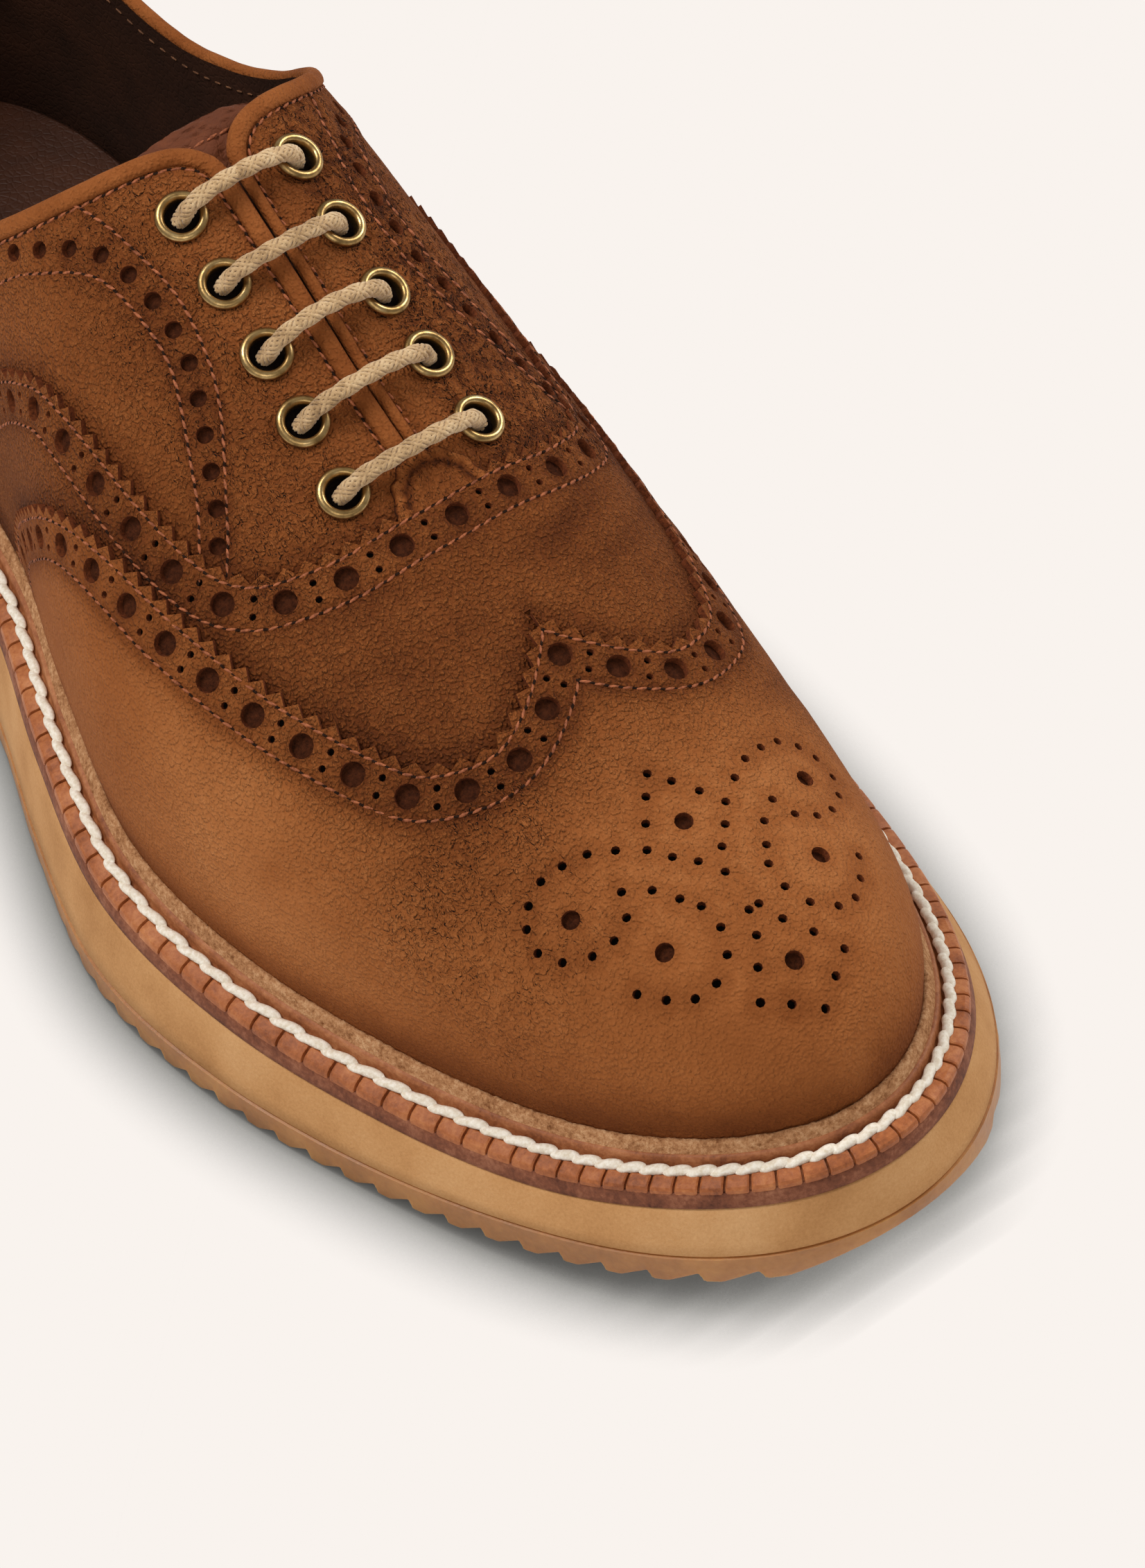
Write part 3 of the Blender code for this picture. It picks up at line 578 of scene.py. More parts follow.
# Toe medallion on one side: station, distance from the ridge. The other side is its mirror.
MEDALLION_DOTS = (
    (0.824, 0.0), (0.834, 2.4), (0.846, 5.0), (0.858, 7.3), (0.869, 4.9), (0.879, 2.2),
    (0.892, 0.0), (0.903, 0.7), (0.916, 0.9), (0.929, 2.4), (0.942, 5.1), (0.955, 7.7),
    (0.964, 4.0), (0.973, 0.0), (0.848, 11.1), (0.840, 14.8), (0.836, 18.8), (0.834, 22.7),
    (0.838, 26.3), (0.845, 28.6), (0.857, 29.4), (0.870, 27.3), (0.880, 23.2), (0.883, 19.3),
    (0.879, 15.8), (0.867, 14.1), (0.877, 10.4), (0.890, 8.0), (0.900, 6.2), (0.915, 5.9),
    (0.928, 7.6), (0.935, 11.3), (0.933, 15.1), (0.923, 18.6), (0.910, 21.5),
)
MEDALLION_SPOTS = ((0.856, 0.0), (0.859, 22.5), (0.906, 14.6), (0.949, 0.0))

# Inner stitch row of the facing, from the vamp up to the collar edge: station, distance from the ridge.
FACING_ROW = (
    (0.612, 35.0), (0.600, 31.6), (0.580, 27.4), (0.560, 23.4), (0.540, 20.4), (0.520, 18.9),
    (0.499, 18.2), (0.482, 18.6), (0.467, 19.6), (0.451, 20.7), (0.436, 22.0), (0.418, 24.2),
    (0.409, 25.6),
)

# Folds: station and reach of both ends, depth (minus for a ridge) and half width in mm.
FOLDS = (
    ((0.700, 6.0), (0.655, 30.0), 0.30, 2.6),
    ((0.712, 14.0), (0.680, 36.0), 0.22, 2.2),
    ((0.690, -4.0), (0.664, -32.0), 0.26, 2.6),
    ((0.720, -16.0), (0.688, -36.0), 0.20, 2.0),
    ((0.672, 2.0), (0.668, 22.0), -0.18, 2.4),
    ((0.676, -6.0), (0.660, -26.0), -0.18, 2.4),
    ((0.800, -26.0), (0.770, -50.0), 0.22, 3.0),
    ((0.825, -24.0), (0.800, -46.0), 0.16, 2.6),
    ((0.742, -50.0), (0.700, -66.0), 0.18, 3.0),
    ((0.800, 27.0), (0.776, 44.0), 0.18, 2.8),
    ((0.560, 16.0), (0.545, 30.0), 0.30, 1.2),
    ((0.530, 14.5), (0.512, 30.0), 0.32, 1.2),
    ((0.500, 15.0), (0.482, 30.0), 0.34, 1.3),
    ((0.590, 17.5), (0.575, 34.0), 0.28, 1.2),
    ((0.470, 15.0), (0.448, 30.0), 0.34, 1.3),
    ((0.610, 18.0), (0.604, 33.0), 0.22, 1.0),
    ((0.545, -16.0), (0.530, -28.0), 0.14, 1.4),
    ((0.500, -15.0), (0.486, -28.0), 0.14, 1.4),
    ((0.460, -15.0), (0.440, -27.0), 0.16, 1.4),
    ((0.330, -74.0), (0.260, -92.0), 0.22, 3.4),
    ((0.330, 72.0), (0.260, 90.0), 0.22, 3.4),
)

# Welt, seen from the foot outward
STITCH_LINE = 0.0048
BLOCK_INSIDE = 0.0053
SIDE_PITCH = 0.0052
TOE_PITCH = 0.0038
LACE_BRAID_LAY = 0.0088
LACE_STRANDS = 8
LACE_STEP = 0.00026
CORE_SHARE = 0.80
STRAND_RADIUS = 0.00034
STRAND_FLAT = 0.55
WEAVE_SINK = 0.00020
WEAVE_DEEP = 0.00012


def tangents(p, q):
    """How the surface point moves with p and with q."""
    step = 0.0004
    high, low = np.minimum(p + step, CHART.p[-1]), np.maximum(p - step, 0.0)
    with_p = (CHART.base(high, q) - CHART.base(low, q)) / (high - low)[..., None]
    with_q = (CHART.base(p, q + step) - CHART.base(p, q - step)) / (2 * step)
    return with_p, with_q


def chart_step(p, q, move):
    """Chart coordinates of a small move over the surface."""
    with_p, with_q = tangents(p, q)
    a, b, c = (with_p**2).sum(-1), (with_p * with_q).sum(-1), (with_q**2).sum(-1)
    u, v = (with_p * move).sum(-1), (with_q * move).sum(-1)
    size = np.maximum(a * c - b * b, 0.02)
    return np.stack([(c * u - b * v) / size, (a * v - b * u) / size], -1)


def ways(line):
    """Surface points, directions and normals along a chart line."""
    spots = CHART.base(line[:, 0], line[:, 1])
    return spots, unit(np.gradient(spots, axis=0), 1e-9), CHART.normal(line[:, 0], line[:, 1])


def beside(line, out, parts=6):
    """The line moved sideways over the leather, to the left for a positive distance."""
    line = np.array(line, float)
    for _ in range(parts):
        _, along, normal = ways(line)
        move = np.cross(normal, along) * (out / parts)
        line = line + chart_step(line[:, 0], line[:, 1], move)
        line[:, 0] = np.clip(line[:, 0], 0.0, CHART.p[-1])
    return line


def pace(line, step, first=0.0, fit=False):
    """Points of a chart line at even steps over the leather."""
    runs = run_of(CHART.base(line[:, 0], line[:, 1]))
    marks = np.arange(first, runs[-1], step)
    if fit:
        marks = np.linspace(0.0, runs[-1], max(int(round(runs[-1] / step)), 1) + 1)
    return at_marks(line, runs, marks)


def own_side(line, side):
    """The part of a line that lies on its own side of the ridge, started on the ridge."""
    past = np.nonzero(line[:, 1] * side > 0)[0]
    if len(past) == 0 or past[0] == 0:
        return line
    a, b = line[past[0] - 1], line[past[0]]
    start = mix(a, b, a[1] / (a[1] - b[1]))
    start[1] = 0.0
    return np.vstack([start, line[past[0]:]])


def above_foot(line, side, margin=0.0):
    """Cuts a line where it meets the foot."""
    over = np.abs(line[:, 1]) > CHART.girth_at(line[:, 0], side) - margin
    over &= line[:, 1] * side > 0.01
    past = np.nonzero(over)[0]
    return line[:past[0]] if len(past) else line


def edge_row(rows, side, inward):
    """A line of the cap or the vamp, moved inward from the tips of its edge."""
    line = pace(chart_line(rows, side), 0.0008, fit=True)
    if inward:
        line = own_side(beside(line, -side * inward, 8), side)
    return above_foot(line, side, 0.001)


def gimped(rows, side):
    """Pinked edge of a panel: tips on the line and notches inside it."""
    line = pace(chart_line(rows, side), GIMP_PITCH / 2, fit=True)
    notch = beside(line, -side * GIMP_DEEP, 3)
    line[1::2] = notch[1::2]
    line[0, 1] = 0.0
    line[-1, 1] = side * CHART.girth_at(line[-1, 0], side)
    return line


def disc(p, q, radius, count, turn=0.0):
    """Round ring over the leather as chart points."""
    p, q = np.array([p]), np.array([q])
    normal = CHART.normal(p, q)[0]
    _, with_q = tangents(p, q)
    first = with_q[0] / np.linalg.norm(with_q[0])
    second = np.cross(normal, first)
    turns = turn + np.arange(count) * 2 * math.pi / count
    moves = radius * (np.cos(turns)[:, None] * first + np.sin(turns)[:, None] * second)
    return np.array([p[0], q[0]]) + chart_step(np.repeat(p, count), np.repeat(q, count), moves)


def punched_holes():
    """All punched holes as (p, q, radius, depth)."""
    holes = []
    for side in SIDES:
        for rows, pitch in ((CAP_EDGE, WING_PITCH), (VAMP_EDGE, VAMP_PITCH)):
            line = edge_row(rows, side, HOLE_ROW)
            big = pace(line, pitch)[0 if side > 0 else 1:]
            holes += [(p, q, BIG_HOLE, HOLE_DEEP) for p, q in big]
            between = pace(line, pitch, pitch / 2)
            for apart in (-PAIR_APART, PAIR_APART):
                holes += [(p, q, PAIR_HOLE, PAIR_DEEP) for p, q in beside(between, apart, 2)]
        row = pace(band_line(side, 0.0), FACING_PITCH, FACING_PITCH * 0.4)
        edge = float(CHART.p_of(FACING_END))
        holes += [(p, q, FACING_HOLE, HOLE_DEEP) for p, q in row if 0.004 < p < edge]
        for spots, radius in ((MEDALLION_DOTS, DOT), (MEDALLION_SPOTS, SPOT)):
            own = [(x, reach) for x, reach in spots if side > 0 or reach > 0.3]
            holes += [(p, q, radius, HOLE_DEEP) for p, q in on_chart(own, side, MM)]
    room = [CHART.girth_at(hole[0], 1 if hole[1] >= 0 else -1) - abs(hole[1]) for hole in holes]
    return [hole for hole, free in zip(holes, room) if free > hole[2] + FOOT_MARGIN]


def plant(spots):
    """Search tree over points in space."""
    tree = KDTree(len(spots))
    for i, spot in enumerate(spots):
        tree.insert(spot, i)
    tree.balance()
    return tree


class Near:
    """Distances in space to a set of surface points."""

    def __init__(self, lines):
        self.tree = plant(np.vstack([CHART.base(line[:, 0], line[:, 1]) for line in lines]))

    def __call__(self, spots):
        return np.array([self.tree.find(spot)[2] for spot in spots])


def lumps(spots, size, seed=0.0, depth=2):
    """Soft noise between about -1 and 1."""
    shift = Vector((seed, seed * 0.7, seed * 1.3))
    take = noise.fractal
    return np.array([take(Vector(spot) / size + shift, 0.8, 2.1, depth) for spot in spots])


def bump_at(distance, width):
    return np.exp(-((distance / width) ** 2))


QUARTER_PANEL, VAMP_PANEL, CAP_PANEL = range(3)
PANEL_EDGES = ((CAP_PANEL, CAP_EDGE), (VAMP_PANEL, VAMP_EDGE))


def bead_width(x, side):
    """Width of the folded edge, narrower along the slit and most so on the medial side."""
    return BEAD_WIDE * mix(1.0, 0.93 if side < 0 else 0.58, soft((x - 0.445) / 0.03))


class Pattern:
    """Lines, holes and relief of the upper's leather."""

    def __init__(self):
        self.top = {s: pace(top_line(s), 0.0011, fit=True) for s in SIDES}
        self.gimp = {(key, s): gimped(rows, s) for key, rows in PANEL_EDGES for s in SIDES}
        self.rows = [row for s in SIDES for row in self.stitch_rows(s)]
        self.holes = punched_holes()
        self.eyelets = [spot for s in SIDES for spot in on_chart(EYELETS, s)]
        big = [hole[:2] for hole in self.holes if hole[2] > PAIR_HOLE * 1.2]
        self.near = {
            "rows": Near([row for row, _ in self.rows]),
            "top": Near(list(self.top.values())),
            "eyelets": Near([np.array(self.eyelets)]),
            "holes": Near([np.array(big)]),
            "band": Near([band_line(s, BAND_EDGE - 0.0012) for s in SIDES])}
        for name, key in (("cap", CAP_PANEL), ("vamp", VAMP_PANEL)):
            self.near[name] = Near([pace(self.gimp[key, s], 0.0004, fit=True) for s in SIDES])
        self.shapes = self.closed_shapes()

    def stitch_rows(self, s):
        """Rows of stitches of one side, each with its panel."""
        rows = [(edge_row(edge, s, inward), key)
                for key, edge in PANEL_EDGES for inward in (ROW_NEAR, ROW_FAR)]
        facing = smooth_line(on_chart(FACING_ROW, s, MM))
        rows += [(pace(line, 0.001, fit=True), QUARTER_PANEL) for line in (band_line(s, 0.0032), facing)]
        edge = self.top[s]
        edge = edge[edge[:, 0] < CHART.p_of(0.632)]
        wide = bead_width(CHART.x_of(edge[:, 0]), s) + 0.00045
        near, far = beside(edge, s * wide.max()), beside(edge, s * wide.min())
        share = ((wide - wide.min()) / (wide.max() - wide.min()))[:, None]
        rows.append((mix(far, near, share), QUARTER_PANEL))
        seam = np.array([(HEEL_SEAM, s * q) for q in np.linspace(0.072, 0.17, 60)])
        down = np.abs(seam[:, 1])
        seam = seam[(down > rear_reach(0.0, 1) + 0.004) & (down < CHART.girth_at(0.0, s) - 0.001)]
        return rows + [(seam, QUARTER_PANEL)]

    def closed_shapes(self):
        """Closed outlines of the cap, the vamp and the eyestay with its band."""
        shapes = {CAP_PANEL: [], VAMP_PANEL: [], "band": []}
        toe, ahead = CHART.p[-1] + 0.01, float(CHART.p_of(0.67))
        for side in SIDES:
            for key, _ in PANEL_EDGES:
                line = self.gimp[key, side]
                beyond = [(line[-1, 0], side * 0.2), (toe, side * 0.2), (toe, 0.0)]
                shapes[key].append(np.vstack([line, beyond]))
            band = pace(band_line(side, BAND_EDGE - 0.0012), 0.003, fit=True)
            behind = [(-0.01, band[-1, 1]), (-0.01, 0.0), (ahead, 0.0), (ahead, band[0, 1])]
            shapes["band"].append(np.vstack([band, behind]))
        return shapes

    def height_near(self, flat, panel):
        """Relief at chart points of one panel."""
        return self.relief(self.fields(np.asarray(flat, float)), panel)

    def panel_of(self, flat):
        """Panel of each chart point."""
        panel = np.full(len(flat), QUARTER_PANEL)
        for key in (VAMP_PANEL, CAP_PANEL):
            for shape in self.shapes[key]:
                panel[inside(flat, shape)] = key
        return panel

    def fields(self, flat):
        """Distances and noises that the relief and the tones are made from."""
        spots = CHART.base(flat[:, 0], flat[:, 1])
        field = {name: near(spots) for name, near in self.near.items()}
        in_band = inside(flat, self.shapes["band"][0]) | inside(flat, self.shapes["band"][1])
        field["band"] *= np.where(in_band, 1.0, -1.0)
        field["swell"] = lumps(spots, 0.022, 3.0)
        field["pucker"] = lumps(spots, 0.0042, 9.0)
        field["wrinkle"] = lumps(spots * (1.0, 1.0, 1.4), 0.0048, 5.0, 3)
        field["x"] = CHART.x_of(flat[:, 0])
        field["q"] = flat[:, 1] * 1000
        girth = np.where(flat[:, 1] >= 0, CHART.girth_at(flat[:, 0], 1), CHART.girth_at(flat[:, 0], -1))
        field["foot"] = girth - np.abs(flat[:, 1])
        field["fold"] = fold_relief(spots)
        field["crumpled"] = wrinkled(field)
        return field

    def relief(self, field, panel):
        """Height over the last for points of one panel."""
        band = EYESTAY * soft(0.5 + field["band"] / 0.0028)
        level = {QUARTER_PANEL: band, VAMP_PANEL: VAMP_LIFT, CAP_PANEL: CAP_LIFT}[panel]
        level = np.broadcast_to(level, field["x"].shape).astype(float)
        share = soft((field["foot"] - 0.004) / 0.008)
        height = mix(SKIN_RIM, level, share)
        height = height + 0.00016 * field["swell"] * share
        height -= 0.00026 * bump_at(field["rows"], 0.0006)
        height += 0.00010 * bump_at(field["rows"] - 0.0017, 0.0009)
        height += 0.00007 * field["pucker"] * bump_at(field["rows"], 0.0022)
        height -= 0.00012 * bump_past(field["holes"], 0.0021, 0.0006)
        height -= 0.00018 * bump_past(field["eyelets"], 0.0044, 0.0010)
        height -= 0.00026 * bump_at(field["wrinkle"], CREASE_WIDE) * field["crumpled"]
        height += field["fold"]
        if panel == QUARTER_PANEL:
            height -= 0.00020 * bump_at(field["vamp"], 0.0010)
            height -= 0.00030 * bump_past(field["top"], BEAD_WIDE * 0.8, 0.0005)
        if panel == VAMP_PANEL:
            height -= 0.00022 * bump_at(field["cap"], 0.0012)
        return height


def bump_past(distance, start, width):
    """1 up to a distance, then fading out."""
    return bump_at(np.maximum(distance - start, 0.0), width)


def fold_relief(spots):
    """Sum of the listed folds, in metres, minus is a trough."""
    total = np.zeros(len(spots))
    t = np.linspace(0.0, 1.0, 15)
    for (x1, q1), (x2, q2), deep, wide in FOLDS:
        bow = np.sin(t * math.pi) * (q2 - q1) * 0.06 / 288
        curve = CHART.base(CHART.p_of(mix(x1, x2, t) + bow), mix(q1, q2, t) / 1000)
        close = np.nonzero(np.linalg.norm(spots - curve[7], axis=1) < 0.035)[0]
        if len(close) == 0:
            continue
        apart = np.linalg.norm(spots[close][:, None] - curve[None], axis=2)
        fade = np.sin(np.clip(t[apart.argmin(axis=1)], 0.04, 0.96) * math.pi) ** 0.6
        near, width = apart.min(axis=1), wide / 1000
        shape = bump_at(near, width) - 0.35 * bump_at(near - 1.7 * width, width * 0.8)
        total[close] -= deep / 1000 * fade * shape
    return total


def between(value, start, rise, end, fall):
    """1 from start to end, with soft flanks."""
    return soft((value - start) / rise) * (1 - soft((value - end) / fall))


def wrinkled(field):
    """Where the leather is crumpled: strong on the medial facing, less on the lateral one."""
    x, q = field["x"], field["q"]
    facing = between(x, 0.40, 0.03, 0.63, 0.03)
    sides = between(q, 6, 6, 34, 10) + 0.35 * between(-q, 8, 6, 30, 8)
    cap_back = between(x, 0.77, 0.02, 0.86, 0.05) * between(-q, 12, 8, 44, 12)
    return np.clip(facing * sides + 0.35 * cap_back, 0, 1)


def skin_tone_and_painted_light(field, level):
    """Lightness of the leather from 0 to 1: painted shade along the sunk stitch rows, round the holes, beside
    the overlapping panel edges, along the cap's edge band, near the welt and in folds and creases, painted
    highlights on fold ridges and on two spots of the toe cap; also lighter along each top panel's own edge
    and darker on the back of the cap.
    """
    x, q, cap, vamp = field["x"], field["q"], field["cap"], field["vamp"]
    on_cap, on_vamp, on_quarter = level == CAP_PANEL, level == VAMP_PANEL, level == QUARTER_PANEL
    tone = np.array([0.51, 0.46, 0.62])[level]
    # Painted shade along the sunk stitch rows and round the holes.
    tone -= 0.13 * bump_at(field["rows"], 0.0010)
    tone -= 0.10 * bump_past(field["holes"], 0.0020, 0.0007)
    # Painted shade on the lower panel beside the edge of the panel that lies over it.
    tone -= 0.18 * (on_vamp * bump_at(cap, 0.0030) + on_quarter * bump_at(vamp, 0.0024))
    tone += 0.12 * (on_cap * bump_at(cap, 0.0016) + on_vamp * bump_at(vamp, 0.0016))
    # Painted shade along the band at the cap's edge.
    tone -= 0.13 * on_cap * (1 - soft((cap - 0.008) / 0.003))
    tone -= 0.10 * on_cap * (1 - soft((x - 0.80) / 0.05)) * soft((q + 52) / 20)
    # Painted shade in the corner where the upper meets the welt.
    tone -= 0.26 * (1 - soft((field["foot"] - 0.004) / 0.014))
    # Painted highlights on two spots of the toe cap.
    tone += 0.10 * on_cap * bump_at(np.hypot((x - 0.90) * 288, q - 14), 22.0)
    tone += 0.12 * on_cap * bump_at(np.hypot((x - 0.70) * 288, q + 62), 26.0)
    # Painted shade in fold troughs and creases, painted highlight on fold ridges.
    tone += 0.08 / 0.0003 * field["fold"]
    tone -= 0.14 * bump_at(field["wrinkle"], CREASE_WIDE) * field["crumpled"]
    return np.clip(tone + 0.08 * field["swell"], 0.0, 1.0)


def skin_grain(field, level):
    """Strength of the pebbled grain, low on the velvety toe."""
    on_cap = level == CAP_PANEL
    grain = np.array([0.65, 0.85, 0.22])[level]
    grain += 0.42 * on_cap * (1 - soft((field["x"] - 0.79) / 0.06)) * soft((field["q"] + 60) / 26)
    grain += 0.15 * on_cap * (1 - soft((field["cap"] - 0.009) / 0.004))
    return np.clip(grain + 0.25 * field["crumpled"] + 0.15 * field["swell"], 0.0, 1.0)


def make_object(name, points, faces, materials, smooth=True, slots=None, values=None):
    """Mesh object from arrays, with values as point attributes."""
    mesh = bpy.data.meshes.new(name)
    mesh.from_pydata(np.asarray(points, float).tolist(), [], [list(face) for face in faces])
    mesh.polygons.foreach_set("use_smooth", np.full(len(mesh.polygons), smooth))
    for material in materials:
        mesh.materials.append(material)
    if slots is not None:
        mesh.polygons.foreach_set("material_index", np.asarray(slots, int))
    for key, data in (values or {}).items():
        data = np.broadcast_to(np.asarray(data, float), (len(points),))
        mesh.attributes.new(key, "FLOAT", "POINT").data.foreach_set("value", np.ascontiguousarray(data))
    mesh.update()
    obj = bpy.data.objects.new(name, mesh)
    bpy.context.scene.collection.objects.link(obj)
    return obj


def dress(obj, slot_name, *nodes):
    """The piece rides on the body and stands for its nodes; slot_name is not used."""
    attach(obj, "root")
    if nodes:
        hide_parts(*nodes)
    return obj


def upper_outline(tops, foot_step, seam_step):
    """Foot, heel seam, top line and throat of both sides, and the closed line round them."""
    outline = []
    for side in SIDES:
        foot, top = foot_line(side, foot_step), tops[side]
        seam = even_line(np.array([[0.0, foot[0, 1]], top[0]]), seam_step)
        outline += [foot, seam, top, np.array([top[-1], [top[-1, 0], 0.0]])]
    outline[0][-1] = outline[4][-1] = (CHART.p[-1], 0.0)
    right, left = outline[0:3], outline[4:7]
    shell = np.vstack([right[0][::-1], right[1][1:], right[2][1:], left[2][::-1], left[1][::-1], left[0]])
    return outline, shell


class Net:
    """Flat points, edges and owners that become triangles."""

    def __init__(self, lines):
        self.points, self.edges, self.owner = [], [], []
        for line in lines:
            self.add(line, edges=True)

    def add(self, line, edges=False, ring=False, owner=-1):
        start, n = len(self.points), len(line)
        self.points += [tuple(v) for v in line]
        self.owner += [owner] * n
        if edges or ring:
            self.edges += [(start + i, start + (i + 1) % n) for i in range(n if ring else n - 1)]

    def triangles(self):
        """Points and triangles, and the largest owner of each point."""
        spots = [Vector((float(a), float(b))) for a, b in self.points]
        result = delaunay_2d_cdt(spots, self.edges, [], 0, 1e-8)
        flat = np.array([(v[0], v[1]) for v in result[0]])
        tag = np.array([max((self.owner[k] for k in orig), default=-1) for orig in result[3]])
        return flat, np.array([tuple(face) for face in result[2]]), tag


def skin_net(pattern):
    """Flat triangles of the whole upper with its edges and holes."""
    outline, shell = upper_outline(pattern.top, 0.003, 0.002)
    net = Net(outline + list(pattern.gimp.values()))
    rings = [disc(p, q, radius, 8 if radius < DOT * 1.1 else 14) for p, q, radius, _ in pattern.holes]
    rings += [disc(p, q, EYELET_CUT, 20) for p, q in pattern.eyelets]
    for number, ring in enumerate(rings):
        net.add(ring, ring=True, owner=number)
    grid = []
    for row, p in enumerate(np.arange(0.0006, CHART.p[-1], SKIN_STEP * 0.866)):
        low, high = -CHART.girth_at(p, -1), CHART.girth_at(p, 1)
        across = np.arange(math.floor(low / SKIN_STEP) * SKIN_STEP, high, SKIN_STEP)
        across = across + SKIN_STEP / 2 * (row % 2)
        grid += [(p, q, 0.0) for q in across if low < q < high]
    lines = plant([(p, q, 0.0) for p, q in net.points])
    centres = np.array([ring.mean(axis=0) for ring in rings])
    sizes = [np.linalg.norm(ring - centre, axis=1).min() for ring, centre in zip(rings, centres)]
    discs = plant([(p, q, 0.0) for p, q in centres])
    for spot in grid:
        _, i, away = discs.find(spot)
        if lines.find(spot)[2] > SKIN_STEP * 0.5 and away > sizes[i] * 1.12 + 0.0002:
            net.add([spot[:2]])
    flat, triangles, tag = net.triangles()
    tags = tag[triangles]
    in_ring = (tags[:, 0] >= 0) & (tags[:, 0] == tags[:, 1]) & (tags[:, 1] == tags[:, 2])
    centre = flat[triangles].mean(axis=1)
    keep = ~in_ring & inside(centre, shell)
    return flat, triangles[keep], pattern.panel_of(centre[keep]), rings


def step_walls(flat, triangles, panel, heights):
    """Corners of the small walls where a higher panel ends on a lower one."""
    sides = {}
    for triangle, k in zip(triangles, panel):
        for a, b in ((0, 1), (1, 2), (2, 0)):
            u, v = int(triangle[a]), int(triangle[b])
            sides.setdefault((min(u, v), max(u, v)), []).append(int(k))
    steps = [(*ends, min(k), max(k)) for ends, k in sides.items() if len(k) == 2 and k[0] != k[1]]
    first, last, low, high = np.array(steps).T
    corners = []
    strip = ((first, high, 0.0), (last, high, 0.0), (last, low, WALL_SINK), (first, low, WALL_SINK))
    for i, lift, sink in strip:
        corners.append(CHART.point(flat[i, 0], flat[i, 1], heights[i, lift] - sink))
    return np.stack(corners, 1).reshape(-1, 3)


def build_skin(pattern, leather, cut_materials):
    """Outer leather in one piece, with the steps of its panels and its punched holes."""
    flat, triangles, panel, rings = skin_net(pattern)
    field = pattern.fields(flat)
    heights = np.stack([pattern.relief(field, k) for k in range(3)], -1)
    keys, faces = np.unique(triangles * 3 + panel[:, None], return_inverse=True)
    index, level = keys // 3, keys % 3
    points = CHART.point(flat[index, 0], flat[index, 1], heights[index, level])
    field = {name: values[index] for name, values in field.items()}
    values = {"tone": skin_tone_and_painted_light(field, level), "coarse": skin_grain(field, level),
              "crumpled": field["crumpled"]}
    faces = faces.reshape(triangles.shape).tolist()
    dress(make_object("upper_leather", points, faces, [leather], values=values), "tan_nubuck", "upper")
    wall = step_walls(flat, triangles, panel, heights)
    start = len(wall)
    cut_points, cut_faces = [wall], [tuple(range(i, i + 4)) for i in range(0, start, 4)]
    cut_slots = [0] * len(cut_faces)
    for (p, q, radius, depth), ring in zip(pattern.holes, rings):
        lift = pattern.height_near(ring, int(pattern.panel_of(np.array([[p, q]]))[0]))
        top, low = [CHART.point(ring[:, 0], ring[:, 1], lift - deep) for deep in (0.0, depth)]
        n = len(ring)
        cut_points += [top, low, low]
        for i in range(n):
            j = (i + 1) % n
            cut_faces.append((start + i, start + j, start + n + j, start + n + i))
        # The floor of each hole: dark leather as painted shade, near black for the small dots.
        cut_faces.append(tuple(start + 2 * n + i for i in range(n)))
        cut_slots += [0] * n + [1 if radius > DOT else 2]
        start += 3 * n
    cuts = make_object("upper_cut_edges", np.vstack(cut_points), cut_faces, cut_materials, False, cut_slots)
    dress(cuts, "tan_nubuck")


def tube(line_points, radius, sides, squash=1.0, ups=None):
    """Rings of a tube round a path in space."""
    pts = np.asarray(line_points, float)
    along = np.gradient(pts, axis=0)
    along /= np.maximum(np.linalg.norm(along, axis=1), 1e-12)[:, None]
    if ups is None:
        ups = np.tile((0.0, 0.0, 1.0), (len(pts), 1))
    aside = np.cross(along, ups)
    aside /= np.maximum(np.linalg.norm(aside, axis=1), 1e-12)[:, None]
    lift = np.cross(aside, along)
    turns = np.arange(sides) * 2 * math.pi / sides
    radius = np.broadcast_to(np.asarray(radius, float), (len(pts),))[:, None, None]
    return (pts[:, None] + radius * (np.cos(turns)[None, :, None] * aside[:, None]
            + squash * np.sin(turns)[None, :, None] * lift[:, None]))


def grid_faces(rows, columns, wrap, start=0, flip=False):
    """Quads of a grid of points, closed round its columns if wrap."""
    faces = []
    last = columns if wrap else columns - 1
    for i in range(rows - 1):
        for j in range(last):
            k = (j + 1) % columns
            face = (start + i * columns + j, start + i * columns + k,
                    start + (i + 1) * columns + k, start + (i + 1) * columns + j)
            faces.append(face[::-1] if flip else face)
    return faces


class Heap:
    """Collects many small meshes of one piece."""

    def __init__(self):
        self.points, self.faces, self.slots, self.count = [], [], [], 0

    def grid(self, rings, wrap=True, caps=False, slot=0, flip=False):
        rows, columns = rings.shape[:2]
        new = grid_faces(rows, columns, wrap, self.count, flip)
        if caps:
            new.append(tuple(self.count + j for j in range(columns)))
            new.append(tuple(self.count + (rows - 1) * columns + j for j in range(columns))[::-1])
        self.points.append(rings.reshape(-1, 3))
        self.faces += new
        self.slots += [slot] * len(new)
        self.count += rows * columns

    def copies(self, shape, faces, frames, slot=0):
        """Copies of a small shape, one for each (centre, 3 x 3 axes)."""
        for centre, axes in frames:
            self.points.append(centre + shape @ axes)
            self.faces += [tuple(self.count + k for k in face) for face in faces]
            self.slots += [slot] * len(faces)
            self.count += len(shape)

    def make(self, name, materials, values=None):
        points = np.vstack(self.points)
        return make_object(name, points, self.faces, materials, slots=self.slots, values=values)


